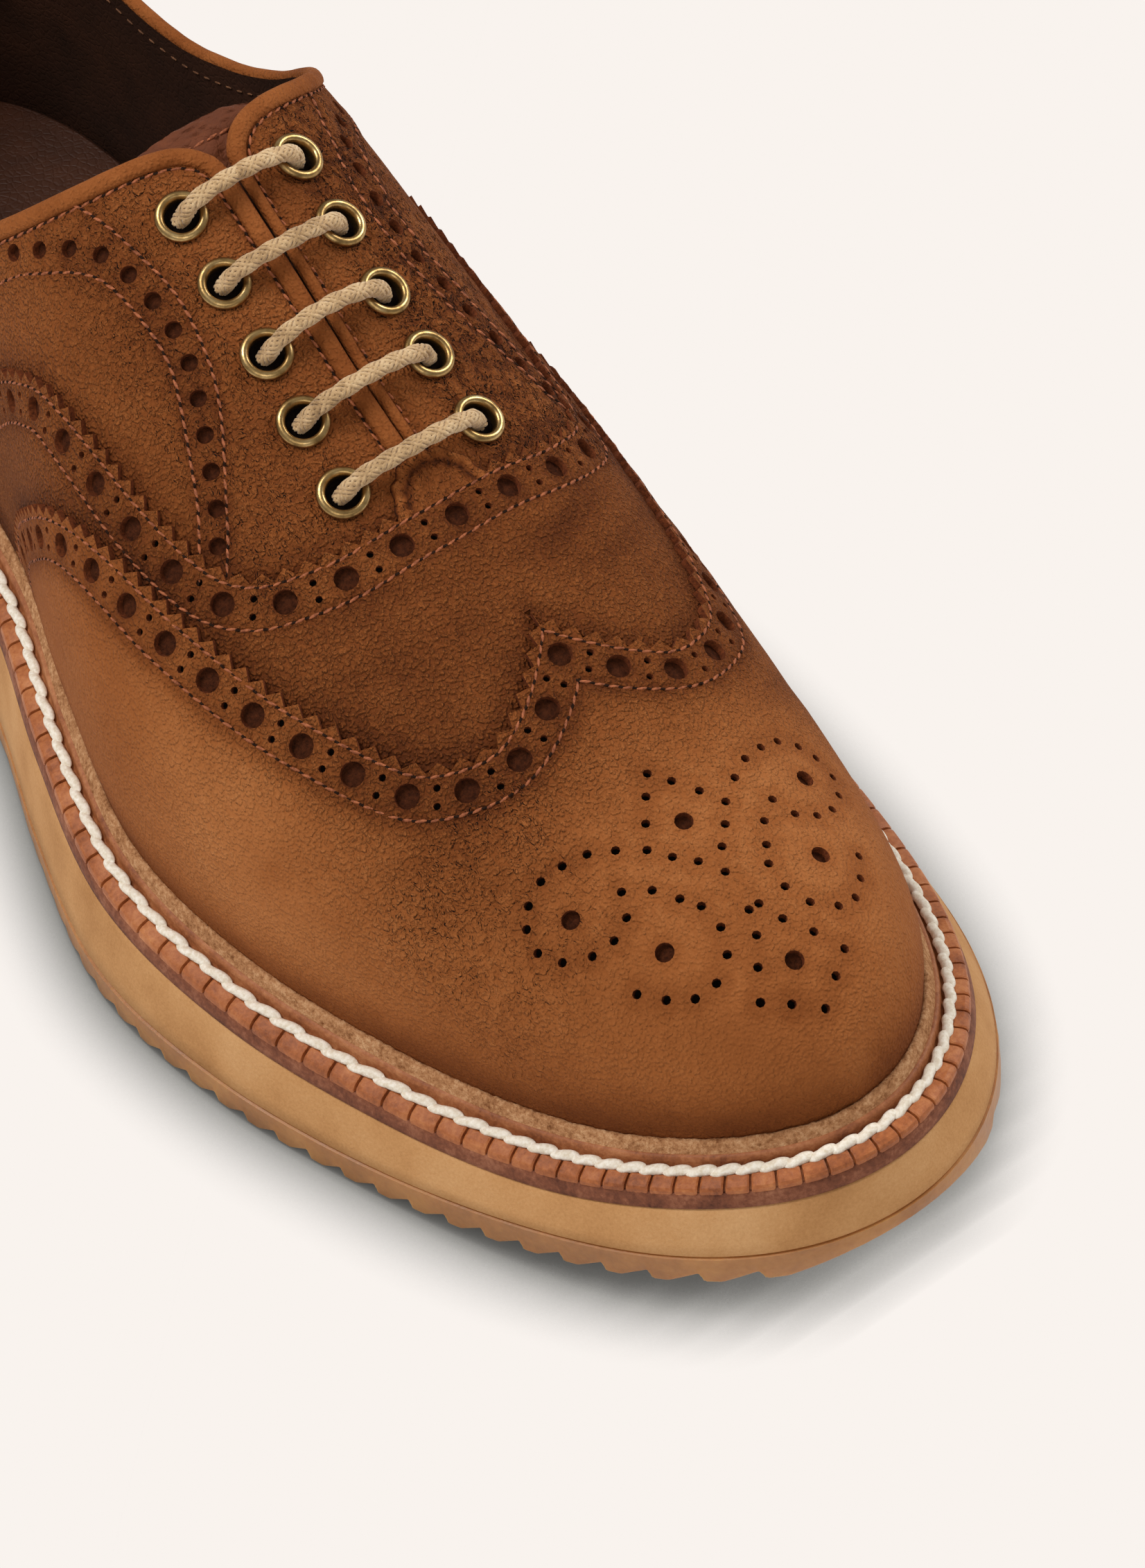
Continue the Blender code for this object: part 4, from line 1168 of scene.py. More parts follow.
def pill(rings, sides):
    """Unit pill along its first axis: points and faces."""
    turns = np.arange(sides) * 2 * math.pi / sides
    points = [(-1.0, 0.0, 0.0)]
    for t in np.linspace(-0.88, 0.88, rings):
        r = (1 - abs(t) ** 2.6) ** 0.5
        points += [(t, r * math.cos(a), r * math.sin(a)) for a in turns]
    points.append((1.0, 0.0, 0.0))
    faces = [(0, 1 + (j + 1) % sides, 1 + j) for j in range(sides)]
    for i in range(rings - 1):
        for j in range(sides):
            k = (j + 1) % sides
            a = 1 + i * sides
            faces.append((a + j, a + k, a + sides + k, a + sides + j))
    end = len(points) - 1
    a = end - sides
    faces += [(end, a + j, a + (j + 1) % sides) for j in range(sides)]
    return np.array(points), faces


STITCH = pill(3, 6)
PIT = pill(2, 6)
THREAD_SIZE = (0.00096, 0.00029, 0.00026)
NEEDLE_SIZE = (0.00042, 0.00039, 0.00014)
STITCH_STEP = 0.00218
STITCH_SLANT = 0.17


def sew(heap, spots, along, normal, size, slant=0.0, slot=0, shape=STITCH):
    """Stitches with their centres, directions, half sizes and slant."""
    frames = []
    for spot, way, up in zip(spots, along, normal):
        turned = way * math.cos(slant) + np.cross(up, way) * math.sin(slant)
        frames.append((spot, np.array([turned * size[0], np.cross(up, turned) * size[1], up * size[2]])))
    heap.copies(*shape, frames, slot)


def build_stitches(pattern, materials):
    """Thread of the upper's rows, with dark pits at the needle holes as painted shade."""
    heap = Heap()
    for row, panel in pattern.rows:
        marks = pace(row, STITCH_STEP, fit=True)
        if len(marks) < 3:
            continue
        middles = (marks[:-1] + marks[1:]) / 2
        # Needle holes are drawn as dark pits of painted shade.
        for flat, size, rise, slant, slot, shape in (
                (middles, THREAD_SIZE, 0.00005, STITCH_SLANT, 0, STITCH),
                (marks, NEEDLE_SIZE, 0.00014, 0.0, 1, PIT)):
            spots = CHART.point(flat[:, 0], flat[:, 1], pattern.height_near(flat, panel) + rise)
            sew(heap, spots, *ways(flat)[1:], size, slant, slot, shape)
    dress(heap.make("upper_stitches", materials), "tan_nubuck")


# Section of the folded edge: across as a share of its width, height over the leather in mm.
BEAD_SECTION = (
    (-1.00, 0.02), (-0.94, 0.40), (-0.78, 0.66), (-0.58, 0.82), (-0.34, 0.86), (-0.12, 0.74), (0.05, 0.48),
    (0.15, 0.05), (0.18, -0.50), (0.14, -1.10), (0.02, -1.55), (-0.18, -1.80), (-0.42, -1.90),
    (-0.70, -1.85), (-0.92, -1.70), (-1.00, -1.3),
)


def build_bead(pattern, materials):
    """Folded edge round the collar and down both facings, which runs out under the tab."""
    heap, tones = Heap(), []
    for side in SIDES:
        line = pace(pattern.top[side], 0.0011, fit=True)
        line = line[line[:, 0] < CHART.p_of(0.634)]
        spots, along, normal = ways(line)
        out = np.cross(along, normal) * side
        x = CHART.x_of(line[:, 0])
        throat, run_out, wide = soft((x - 0.445) / 0.02), soft((x - 0.612) / 0.018), bead_width(x, side)
        lump = lumps(spots, 0.006, 2.0)
        rings = []
        for s, h in BEAD_SECTION:
            h = np.full(len(x), h / 1000)
            h = np.where(h < -0.0014, mix(h, -0.00145, throat), h)
            reach = s * wide * (mix(1.0, 1.6 if side < 0 else 0.9, throat) if s > 0 else 1.0)
            if h[0] > 0:
                h = h * mix(1.0, 0.75, throat) + (0.00016 * throat if side < 0 else 0.0) - 0.0007 * run_out
            rise = EYESTAY + 0.00012 * lump + h
            rings.append(spots + SHIFT + out * reach[:, None] + normal * rise[:, None])
        heap.grid(np.array(rings).transpose(1, 0, 2), caps=True, flip=side > 0)
        tones.append(np.repeat(0.50 + 0.10 * lump, len(BEAD_SECTION)))
    values = {"tone": np.concatenate(tones), "coarse": 0.12, "crumpled": 0.0}
    dress(heap.make("collar_bead", materials, values=values), "tan_nubuck")


# Throat tab from its middle to its rim: share of the radius, height in mm, tone, which is low in the groove
# and at the tucked rim as painted shade.
TAB_ROWS = (
    (0.02, 0.10, 0.46), (0.35, 0.12, 0.46), (0.58, 0.16, 0.50), (0.68, 0.02, 0.30), (0.74, 0.00, 0.16),
    (0.80, 0.18, 0.40), (0.88, 0.36, 0.56), (0.95, 0.34, 0.60), (0.99, 0.10, 0.34), (1.02, -0.25, 0.04),
    (1.03, -0.60, 0.02),
)


def build_tab(materials):
    """Half-round patch with a puckered rim at the foot of the throat, tucked under the vamp."""
    share, lift, tone = np.array(TAB_ROWS).T[:, :, None]
    turn = np.radians(np.linspace(-89.0, 89.0, 73))[None, :]
    reach = TAB_RADIUS * share * (1.0 + 0.03 * share * np.sin(turn * 13 + 0.6))
    back = reach * np.cos(turn)
    pleats = np.sin(turn * 19 + share * 5) * share**3
    rise = (lift / 1000 + 0.00012 * pleats) * mix(0.25, 1.0, soft((back - 0.0016) / 0.0016))
    heap = Heap()
    p = float(CHART.p_of(TAB_CENTRE)) - back
    heap.grid(CHART.point(p, reach * np.sin(turn), EYESTAY + TAB_LIFT + rise), wrap=False, flip=True)
    # Pleat crests lighter and pleat troughs darker: painted light on the pleats.
    values = {"tone": np.clip(tone + 0.10 * pleats, 0, 1).ravel(), "coarse": 0.4, "crumpled": 0.4}
    dress(heap.make("throat_tab", materials, values=values), "tan_nubuck")


def build_lining(pattern, materials):
    """Smooth inner face of the upper."""
    tops = {side: pace(pattern.top[side], 0.003, fit=True) for side in SIDES}
    outline, shell = upper_outline(tops, 0.004, 0.004)
    net = Net(outline)
    fixed = np.array(net.points)
    for row, p in enumerate(np.arange(0.002, CHART.p[-1], 0.0028)):
        low, high = -CHART.girth_at(p, -1), CHART.girth_at(p, 1)
        for q in np.arange(-0.15, 0.15, 0.0032) + 0.0016 * (row % 2):
            if low < q < high and np.hypot(fixed[:, 0] - p, fixed[:, 1] - q).min() > 0.0014:
                net.add([(p, q)])
    flat, triangles, _ = net.triangles()
    keep = inside(flat[triangles].mean(axis=1), shell)
    used, faces = np.unique(triangles[keep][:, ::-1], return_inverse=True)
    flat = flat[used]
    height = INNER - 0.0001 + 0.00012 * lumps(CHART.base(flat[:, 0], flat[:, 1]), 0.018, 4.0)
    world = CHART.point(flat[:, 0], flat[:, 1], height)
    dress(make_object("lining", world, faces.reshape(-1, 3).tolist(), materials), "tan_nubuck")


def build_lining_stitches(pattern, materials):
    """Dashed row just under the collar on the inside."""
    heap = Heap()
    for side in SIDES:
        row = beside(pace(pattern.top[side], 0.001, fit=True)[:-40], side * 0.0036)
        marks = pace(row[row[:, 0] > 0.001], 0.0031)
        spots = CHART.point(marks[:, 0], marks[:, 1], INNER - 0.0002)
        sew(heap, spots, *ways(marks)[1:], (0.0008, 0.00024, 0.0002))
    dress(heap.make("lining_stitches", materials), "tan_nubuck")


# Section of an eyelet in mm: radius, height over the leather.
EYELET_SECTION = (
    (4.30, 0.02), (4.33, 0.22), (4.22, 0.52), (3.95, 0.80), (3.60, 0.94), (3.25, 0.90), (2.98, 0.70),
    (2.84, 0.38), (2.80, 0.0), (2.80, -0.9), (2.86, -1.4),
)


def build_eyelets(pattern, materials):
    """Rolled brass rings with their barrels, and a near-black disc deep inside each as painted shade."""
    heap = Heap()
    turns = np.arange(56)[:, None] * 2 * math.pi / 56
    for p, q in pattern.eyelets:
        centre, normal, aside, along = eyelet_frame(p, q)
        round_way = np.cos(turns) * aside + np.sin(turns) * along
        rings = [centre + round_way * r * MM + normal * (h * MM + 0.00012) for r, h in EYELET_SECTION]
        heap.grid(np.array(rings))
        # Near-black disc inside the barrel: painted shade.
        heap.grid(np.array([centre + round_way * r - normal * 0.0013 for r in (0.00288, 0.00001)]), slot=1)
    names = [f"eyelet_{word}_{n}" for word in ("lateral", "medial") for n in range(1, 6)]
    dress(heap.make("eyelet_rings", materials), "aged_brass", *names)


# One bar of the lace: share of the way between its eyelets, height over the leather in mm.
BAR_ROWS = (
    (-0.030, -1.3), (0.000, -0.5), (0.035, 0.7), (0.085, 2.15), (0.16, 3.15), (0.28, 3.75), (0.42, 4.0),
    (0.58, 3.9), (0.72, 3.5), (0.84, 2.85), (0.92, 1.95), (0.968, 0.6), (1.000, -0.5), (1.028, -1.3),
)


def lace_bar(a, b, lean):
    """Path of one bar, out of the lateral eyelet and into the medial one."""
    path = []
    for t, h in BAR_ROWS:
        p = mix(a[0], b[0], t) + lean * math.sin(math.pi * min(max(t, 0), 1))
        path.append(CHART.point(p, mix(a[1], b[1], t), EYESTAY + h / 1000))
    path = smooth_line(path, 12)[:-1]
    runs = run_of(path)
    marks = np.linspace(0, runs[-1], int(runs[-1] / LACE_STEP))
    return at_marks(path, runs, marks), marks


def build_lace(pattern, materials):
    """Five bars of round cotton braid, each with strands that pass over and under."""
    heap = Heap()
    count = len(EYELETS)
    for i, (a, b) in enumerate(zip(pattern.eyelets[:count], pattern.eyelets[count:])):
        path, marks = lace_bar(a, b, 0.0006 * math.sin(i * 2.1))
        along = unit(np.gradient(path, axis=0))
        aside = unit(np.cross(along, (0.0, 0.0, 1.0)))
        lift = np.cross(aside, along)
        # The core is darker than the strands: painted shade in the gaps between them.
        heap.grid(tube(path, LACE_RADIUS * CORE_SHARE, 12), caps=True, slot=1)
        laid = 2 * math.pi * marks / LACE_BRAID_LAY
        for way in SIDES:
            for k in range(LACE_STRANDS):
                turn = way * laid + 2 * math.pi * k / LACE_STRANDS
                weave = way * np.sin(LACE_STRANDS * laid / 2 + math.pi * k / 2 * way)
                out = np.cos(turn)[:, None] * aside + np.sin(turn)[:, None] * lift
                strand = path + out * (LACE_RADIUS - WEAVE_SINK + WEAVE_DEEP * weave)[:, None]
                heap.grid(tube(strand, STRAND_RADIUS, 6, squash=STRAND_FLAT, ups=out))
    dress(heap.make("lace_bars", materials), "lace_cotton", "lace")


def build_tongue(materials):
    """Crumpled tongue behind the throat with a stitched top edge."""
    rows, row_at = 56, 0.0040
    stations = np.concatenate([np.linspace(TONGUE_START, 0.455, 60), np.linspace(0.4555, 0.69, 70)])
    half = np.interp(stations, (TONGUE_START, 0.436, 0.60, 0.69), (0.0190, 0.0235, 0.0185, 0.0150))
    p = np.repeat(CHART.p_of(stations)[:, None], rows, axis=1)
    q = half[:, None] * np.linspace(-1.0, 1.0, rows)
    spots = CHART.base(p.ravel(), q.ravel())
    crumple = bump_at(lumps(spots * (1.0, 1.6, 1.0), 0.0062, 11.0, 3), 0.2).reshape(p.shape)
    swell = lumps(spots, 0.009, 12.0).reshape(p.shape)
    show = 1 - soft((stations - 0.455) / 0.03)[:, None]
    stitch = bump_at(p - p[0, 0] - row_at, 0.0006)
    edge = (1 - np.clip((p - p[0, 0]) / 0.0014, 0, 1)) ** 2
    top = TONGUE_TOP + show * (0.0005 * swell - 0.0006 * crumple - 0.00025 * stitch) - 0.0009 * edge
    upper_face = CHART.point(p, q, top)
    lower_face = CHART.point(p, q, TONGUE_TOP - TONGUE_THICK + 0.0006 * edge)
    heap = Heap()
    heap.grid(upper_face, wrap=False)
    heap.grid(lower_face, wrap=False, flip=True)
    for pick in ((slice(None), 0), (slice(None), -1), (0, slice(None)), (-1, slice(None))):
        heap.grid(np.stack([upper_face[pick], lower_face[pick]], 1), wrap=False)
    flat = np.stack([np.full(14, p[0, 0] + row_at), np.linspace(-0.0165, 0.0165, 14)], -1)
    spots = CHART.point(flat[:, 0], flat[:, 1], TONGUE_TOP - 0.0001)
    sew(heap, spots, *ways(flat)[1:], (0.0011, 0.00032, 0.0003), 0.15, 1)
    dress(heap.make("tongue_leather_piece", materials), "tongue_leather", "tongue")


class Loop:
    """Closed run round the sole: lateral from heel to toe, medial back to the heel."""

    def __init__(self, marks=None, count=1400):
        parts = []
        x = even_shares(OUTLINE_STEPS)
        for side in SIDES:
            line = foot_outline(side, 0.0)
            normal = (foot_outline(side, 0.001) - line) / 0.001
            data = np.column_stack([x, line, normal, heel_trim(x)])
            parts.append(data if side < 0 else data[-2:0:-1])
        data = np.vstack([*parts, parts[0][:1]])
        edge = data[:, 1:3] + data[:, 3:5] * (0.0055 * data[:, 5])[:, None]
        self.data, self.runs = data, run_of(edge)
        self.length = self.runs[-1]
        self.take(np.arange(count) * self.length / count if marks is None else marks)

    def take(self, marks):
        got = at_marks(self.data, self.runs, marks)
        self.x, self.base, self.normal, self.trim = got[:, 0], got[:, 1:3], unit(got[:, 3:5]), got[:, 5]

    def noise(self, size, seed, depth=2):
        return lumps(np.column_stack([self.base, np.zeros(len(self.x))]), size, seed, depth)

    def ring(self, out, rise=0.0):
        """Points outside the foot at a rise over the bed."""
        out = np.broadcast_to(np.asarray(out, float), self.x.shape)
        reach = np.where(out > LIP_OUTSIDE, out * self.trim, out)
        spot = self.base + self.normal * reach[:, None]
        z = bed_height(np.clip(-spot[:, 1] / LAST_LENGTH, -0.06, 1.06)) + rise
        return np.column_stack([spot, z]) + SHIFT

    def sweep(self, rows):
        """Closed grid through rows of (reach, rise) in mm."""
        return close_loop(np.array([self.ring(out * MM, rise * MM) for out, rise in rows]).transpose(1, 0, 2))


def close_loop(rings):
    return np.concatenate([rings, rings[:1]], axis=0)


def stitch_marks(loop):
    """Where the blocks and stitches of the welt begin: closer round the toe than on the sides."""
    pitch = mix(SIDE_PITCH, TOE_PITCH, soft((loop.data[:, 0] - 0.80) / 0.12))
    phase = np.concatenate([[0.0], np.cumsum(np.diff(loop.runs) / pitch[1:])])
    total = int(round(phase[-1]))
    return np.interp(np.arange(total) * phase[-1] / total, phase, loop.runs), total


def build_welt(lip, channel, fibrous):
    """Storm lip with a rough top, the channel for the stitches, and the frayed runner edge."""
    loop = Loop(count=2600)
    fuzz, wave, fray = loop.noise(0.0011, 1.0, 3), loop.noise(0.012, 6.0), loop.noise(0.0016, 14.0, 3)
    heap = Heap()
    rings = loop.sweep((
        (0.85, -0.3), (0.80, 3.9), (0.75 + 0.12 * fuzz, 4.6 + 0.30 * fuzz), (1.20, 4.80 + 0.26 * fuzz),
        (1.70, 4.50 - 0.20 * fuzz), (2.05 + 0.08 * fuzz, 3.9), (2.30, 3.05), (2.60, 2.65 + 0.1 * wave),
        (2.95, 2.62 + 0.1 * wave), (3.25, 2.25), (3.40, 1.45), (3.55, 0.75), (3.85, 0.36), (4.6, 0.20),
        (5.6, 0.05), (7.2, -0.6), (8.0, -1.9)))
    heap.grid(rings[:, :8], wrap=False, slot=0)
    heap.grid(rings[:, 7:], wrap=False, slot=1)
    dress(heap.make("storm_welt", [lip, channel]), "welt_leather", "welt")
    edge = Heap()
    edge.grid(loop.sweep((
        (7.2, -1.1), (7.95 + 0.10 * fray, -1.15), (8.3 + 0.08 * fray, -2.2), (8.55 + 0.08 * fray, -3.2),
        (8.75, -4.0), (6.0, -4.0))), wrap=False)
    dress(edge.make("leather_runner_edge", [fibrous]), "welt_leather")


# Along one block of the welt: share of its pitch, share of its full height.
BLOCK_ROWS = (
    (0.0, 0.0), (0.04, 0.0), (0.06, 0.88), (0.13, 1.0), (0.5, 1.0), (0.89, 1.0), (0.96, 0.88), (0.98, 0.0),
)


def build_blocks(materials):
    """Notched pads outside the stitch row, with thin slits between them."""
    loop = Loop(count=10)
    marks, total = stitch_marks(loop)
    shares, raised = np.array(BLOCK_ROWS).T
    loop.take((marks[:, None] + np.diff(marks, append=loop.length)[:, None] * shares).ravel())
    up = np.tile(raised, total)
    wobble, shrink, first = loop.noise(0.006, 21.0), (1 - up) * 0.9, BLOCK_INSIDE / MM
    heap = Heap()
    heap.grid(loop.sweep((
        (first, -0.4), (first + 0.05, mix(-0.5, 0.55, up)),
        (first + 0.45, mix(-0.6, 0.78, up) + 0.06 * wobble),
        (7.15 - shrink, mix(-0.6, 0.42, up) + 0.08 * wobble), (7.75 - shrink, mix(-0.8, -0.02, up)),
        (8.02 - shrink, mix(-1.0, -0.6, up)), (8.05 - shrink, -1.35), (7.4 - shrink, -1.6))), wrap=False)
    blocks = heap.make("welt_blocks", materials)
    blocks.data.set_sharp_from_angle(angle=math.radians(24))
    dress(blocks, "welt_leather")


def rope_stitch(rings, sides):
    """One laid stitch: a fat pill with a twisted groove, along its first axis."""
    turns = np.arange(sides) * 2 * math.pi / sides
    rows = []
    for t in np.linspace(-1.0, 1.0, rings):
        size = max(1 - abs(t) ** 2.8, 0.03) ** 0.5
        groove = 1 - 0.16 * np.abs(np.cos(turns + t * 2.0)) ** 8
        sway = 0.16 * math.sin(t * 1.5)
        rows.append(np.stack([np.full(sides, t * 1.0), sway + size * groove * np.cos(turns),
                              size * groove * np.sin(turns) + 0.12 * math.cos(t * 2)], -1))
    return np.array(rows)


def build_rope(cord, dark):
    """White lockstitch that lies over the welt, one stitch to a block, with a dark pit of painted shade
    beside each.
    """
    loop = Loop(count=10)
    marks, total = stitch_marks(loop)
    step = np.diff(marks, append=loop.length)
    loop.take(marks + step * 0.02)
    centre = loop.ring(STITCH_LINE, 0.00095)
    loop.take((marks + step * 0.02 + 0.001) % loop.length)
    along = unit(loop.ring(STITCH_LINE, 0.00095) - centre)
    shape = rope_stitch(15, 14)
    heap, pits = Heap(), Heap()
    for i, way in enumerate(along):
        aside = unit(np.cross((0.0, 0.0, 1.0), way))
        up = np.cross(way, aside)
        tilt = 0.075 + 0.02 * math.sin(i * 1.7)
        turned = way * math.cos(tilt) + up * math.sin(tilt) * 0.6 + aside * math.sin(tilt)
        length = step[i] * (0.66 + 0.02 * math.sin(i * 2.3))
        axes = np.array([turned * length, np.cross(up, turned) * 0.00096, up * 0.00080])
        heap.grid(centre[i] + shape @ axes, caps=True)
        # Dark pit where the stitch goes in: painted shade.
        spot = centre[i] - way * step[i] * 0.5 - aside * 0.00118 - up * 0.00062
        axes = np.array([(way + aside * 0.5) * 0.0006, aside * 0.00022, up * 0.00016])
        pits.copies(*PIT, [(spot, axes)])
    dress(heap.make("welt_stitches", [cord]), "welt_leather")
    dress(pits.make("welt_stitch_hole_shade", [dark]), "welt_leather")


def plate_rings(side_out, height, shares):
    """Points of a plate's ring as in the part: lateral side out, medial side back."""
    ring = []
    for side in SIDES:
        edge = foot_outline(side, side_out)
        y = mix(edge[0, 1], edge[-1, 1], shares)
        a = np.interp(-y, -edge[:, 1], edge[:, 0])
        ring.append(np.stack([a, y, height(-y / LAST_LENGTH)], -1))
    return ring


def plate(heap, rings, shares, slot=0, top=True, bottom=True):
    """Closed plate through rings from the top to the bottom."""
    both = []
    for out, height in rings:
        lateral, medial = plate_rings(out, height, shares)
        both.append(np.vstack([lateral, medial[-2:0:-1]]) + SHIFT)
    grid = np.array(both).transpose(1, 0, 2)
    heap.grid(close_loop(grid), wrap=False, slot=slot)
    for wanted, (out, height), flip in ((top, rings[0], True), (bottom, rings[-1], False)):
        if wanted:
            lateral, medial = plate_rings(out, height, shares)
            across = np.linspace(0, 1, 7)
            sheet = np.array([mix(lateral, medial, t) for t in across]) + SHIFT
            heap.grid(sheet, wrap=False, slot=slot, flip=flip)


def build_midsole(materials):
    """Foam wedge between the welt and the rubber, its flank bowed a little."""
    def level(t):
        return lambda x: mix(bed_height(x) - WELT_THICK - GAP / 2, ground_height(x) + RUBBER_THICK, t)

    rings = (
        (WELT_FOOT - 0.0008, 0.0), (WELT_FOOT - 0.00015, 0.012), (WELT_FOOT + 0.0001, 0.05),
        (mix(WELT_FOOT, FOAM_MIDDLE, 0.5), 0.22), (FOAM_MIDDLE, 0.45),
        (mix(FOAM_MIDDLE, FOAM_FOOT, 0.5), 0.72), (FOAM_FOOT - 0.00012, 0.97), (FOAM_FOOT - 0.0005, 0.998))
    heap = Heap()
    plate(heap, [(out, level(t)) for out, t in rings], even_shares(170))
    dress(heap.make("foam_wedge", materials), "beige_foam", "midsole")


def build_outsole(materials):
    """Gum rubber with its sawtooth foot, its edges a little rounded."""
    at, high = tooth_marks().T
    start, end, blunt = at[0], at[-1], 0.0003
    wanted = [*at, *(at[1:-1] - blunt), *(at[1:-1] + blunt)]
    for mark in start + (end - start) * even_shares(110):
        if min(abs(mark - other) for other in wanted) > 0.0007:
            wanted.append(mark)
    wanted += [start + 0.0001, start + 0.0004, end - 0.0001, end - 0.0004]
    wanted = np.array(sorted(set(round(float(w), 6) for w in wanted)))
    depth, before, after = [np.interp(wanted + move, at, high) for move in (0.0, -blunt, blunt)]
    rounded = 0.5 * depth + 0.25 * before + 0.25 * after
    rounded = np.where(depth < 1e-6, np.minimum(rounded, 0.00012), rounded)

    def level(t, drop=0.0):
        def height(x):
            top = ground_height(x) + RUBBER_THICK - GAP / 4 - drop
            return mix(top, ground_height(x) + np.interp(x * LAST_LENGTH, wanted, rounded), t)
        return height

    rings = (
        (FOAM_FOOT - 0.0004, level(0.0)), (FOAM_FOOT + 0.0002, level(0.0, 0.00018)),
        (mix(FOAM_FOOT, RUBBER_FOOT, 0.6), level(0.4)), (RUBBER_FOOT, level(0.88)),
        (RUBBER_FOOT - 0.00025, level(0.975)), (RUBBER_FOOT - 0.0008, level(1.0)))
    heap = Heap()
    plate(heap, rings, (wanted - start) / (end - start))
    tread = heap.make("ripple_tread", materials)
    tread.data.set_sharp_from_angle(angle=math.radians(38))
    dress(tread, "gum_rubber", "outsole")


def build_insole(materials):
    """Sock over the bed, with a stitched heel pad."""
    rings = [(INNER - out, lambda x, rise=rise: bed_height(x) + rise)
             for out, rise in ((0.0016, 0.00272), (0.0008, 0.0022), (0.0007, 0.0012))]
    heap = Heap()
    plate(heap, rings, even_shares(120), bottom=False)
    spots = []
    for t in np.linspace(-1, 1, 32):
        x, side = 0.325 - 0.035 * t**2, 1 if t > 0 else -1
        half = half_width(x, side) - waist_tuck(x, side) - 0.0045
        spots.append((float(t * half), -x * LAST_LENGTH, float(bed_height(x)) + 0.00278))
    spots = np.array(spots) + SHIFT
    along = unit(np.gradient(spots, axis=0))
    sew(heap, spots, along, np.tile((0.0, 0.0, 1.0), (len(spots), 1)), (0.0008, 0.0003, 0.00022), slot=1)
    dress(heap.make("insole_sock", materials), "sock_leather", "insole")


class Shader:
    """Short way to build a node material."""

    def __init__(self, name, **settings):
        self.material = bpy.data.materials.new(name)
        self.material.use_nodes = True
        self.tree = self.material.node_tree
        self.main = self.tree.nodes["Principled BSDF"]
        for key, value in settings.items():
            self.main.inputs[key.replace("_", " ")].default_value = value
        self.place = self.node("ShaderNodeTexCoord").outputs["Object"]

    def node(self, kind, inputs=None, **settings):
        made = self.tree.nodes.new(kind)
        for key, value in settings.items():
            setattr(made, key, value)
        for key, value in (inputs or {}).items():
            if isinstance(value, bpy.types.NodeSocket):
                self.tree.links.new(value, made.inputs[key])
            else:
                made.inputs[key].default_value = value
        return made

    def link(self, key, value):
        self.tree.links.new(value, self.main.inputs[key])

    def noise(self, scale, detail=3.0, rough=0.55, stretch=None, warp=0.0):
        place = self.place
        if stretch:
            place = self.node("ShaderNodeMapping", {"Vector": place, "Scale": stretch}).outputs[0]
        made = self.node("ShaderNodeTexNoise", {"Vector": place, "Scale": scale, "Detail": detail,
                                               "Roughness": rough, "Distortion": warp})
        return made.outputs["Fac"]

    def cells(self, scale, feature="F1", place=None, random=1.0):
        made = self.node("ShaderNodeTexVoronoi", {"Vector": place or self.place, "Scale": scale,
                                                 "Randomness": random}, feature=feature)
        return made.outputs["Distance"]

    def warped(self, scale, amount):
        """Place shifted by noise, so that cells get uneven walls."""
        cloud = self.node("ShaderNodeTexNoise", {"Vector": self.place, "Scale": scale, "Detail": 2.0})
        return self.node("ShaderNodeVectorMath", {0: cloud.outputs["Color"], 1: (amount,) * 3, 2: self.place},
                         operation="MULTIPLY_ADD").outputs[0]

    def math(self, kind, a, b=0.0, c=0.0):
        return self.node("ShaderNodeMath", {0: a, 1: b, 2: c}, operation=kind).outputs[0]

    def span(self, value, low, high, to_low=0.0, to_high=1.0):
        made = self.node("ShaderNodeMapRange", {0: value, 1: low, 2: high, 3: to_low, 4: to_high})
        return made.outputs[0]

    def ramp(self, value, stops, linear=False):
        made = self.node("ShaderNodeValToRGB", {"Fac": value})
        points = made.color_ramp.elements
        while len(points) < len(stops):
            points.new(0.5)
        for point, (at, colour) in zip(points, stops):
            point.position = at
            point.color = (*(colour if linear else srgb(colour)), 1.0)
        return made.outputs["Color"]

    def bump(self, layers):
        """Chain of bumps: (height, distance in metres, strength)."""
        last = {}
        for height, distance, strength in layers:
            inputs = {"Height": height, "Distance": distance, "Strength": strength, **last}
            last = {"Normal": self.node("ShaderNodeBump", inputs).outputs["Normal"]}
        self.link("Normal", last["Normal"])

    def value(self, name):
        return self.node("ShaderNodeAttribute", attribute_name=name).outputs["Fac"]

    def add_noise(self, level, cloud, amount):
        """The level with a share of a noise added to it."""
        return self.math("MULTIPLY_ADD", self.math("SUBTRACT", cloud, 0.5), amount, level)


def srgb(levels):
    """Linear colour from levels of 0 to 255."""
    return tuple(((v / 255 + 0.055) / 1.055) ** 2.4 if v > 10 else v / 255 / 12.92 for v in levels)


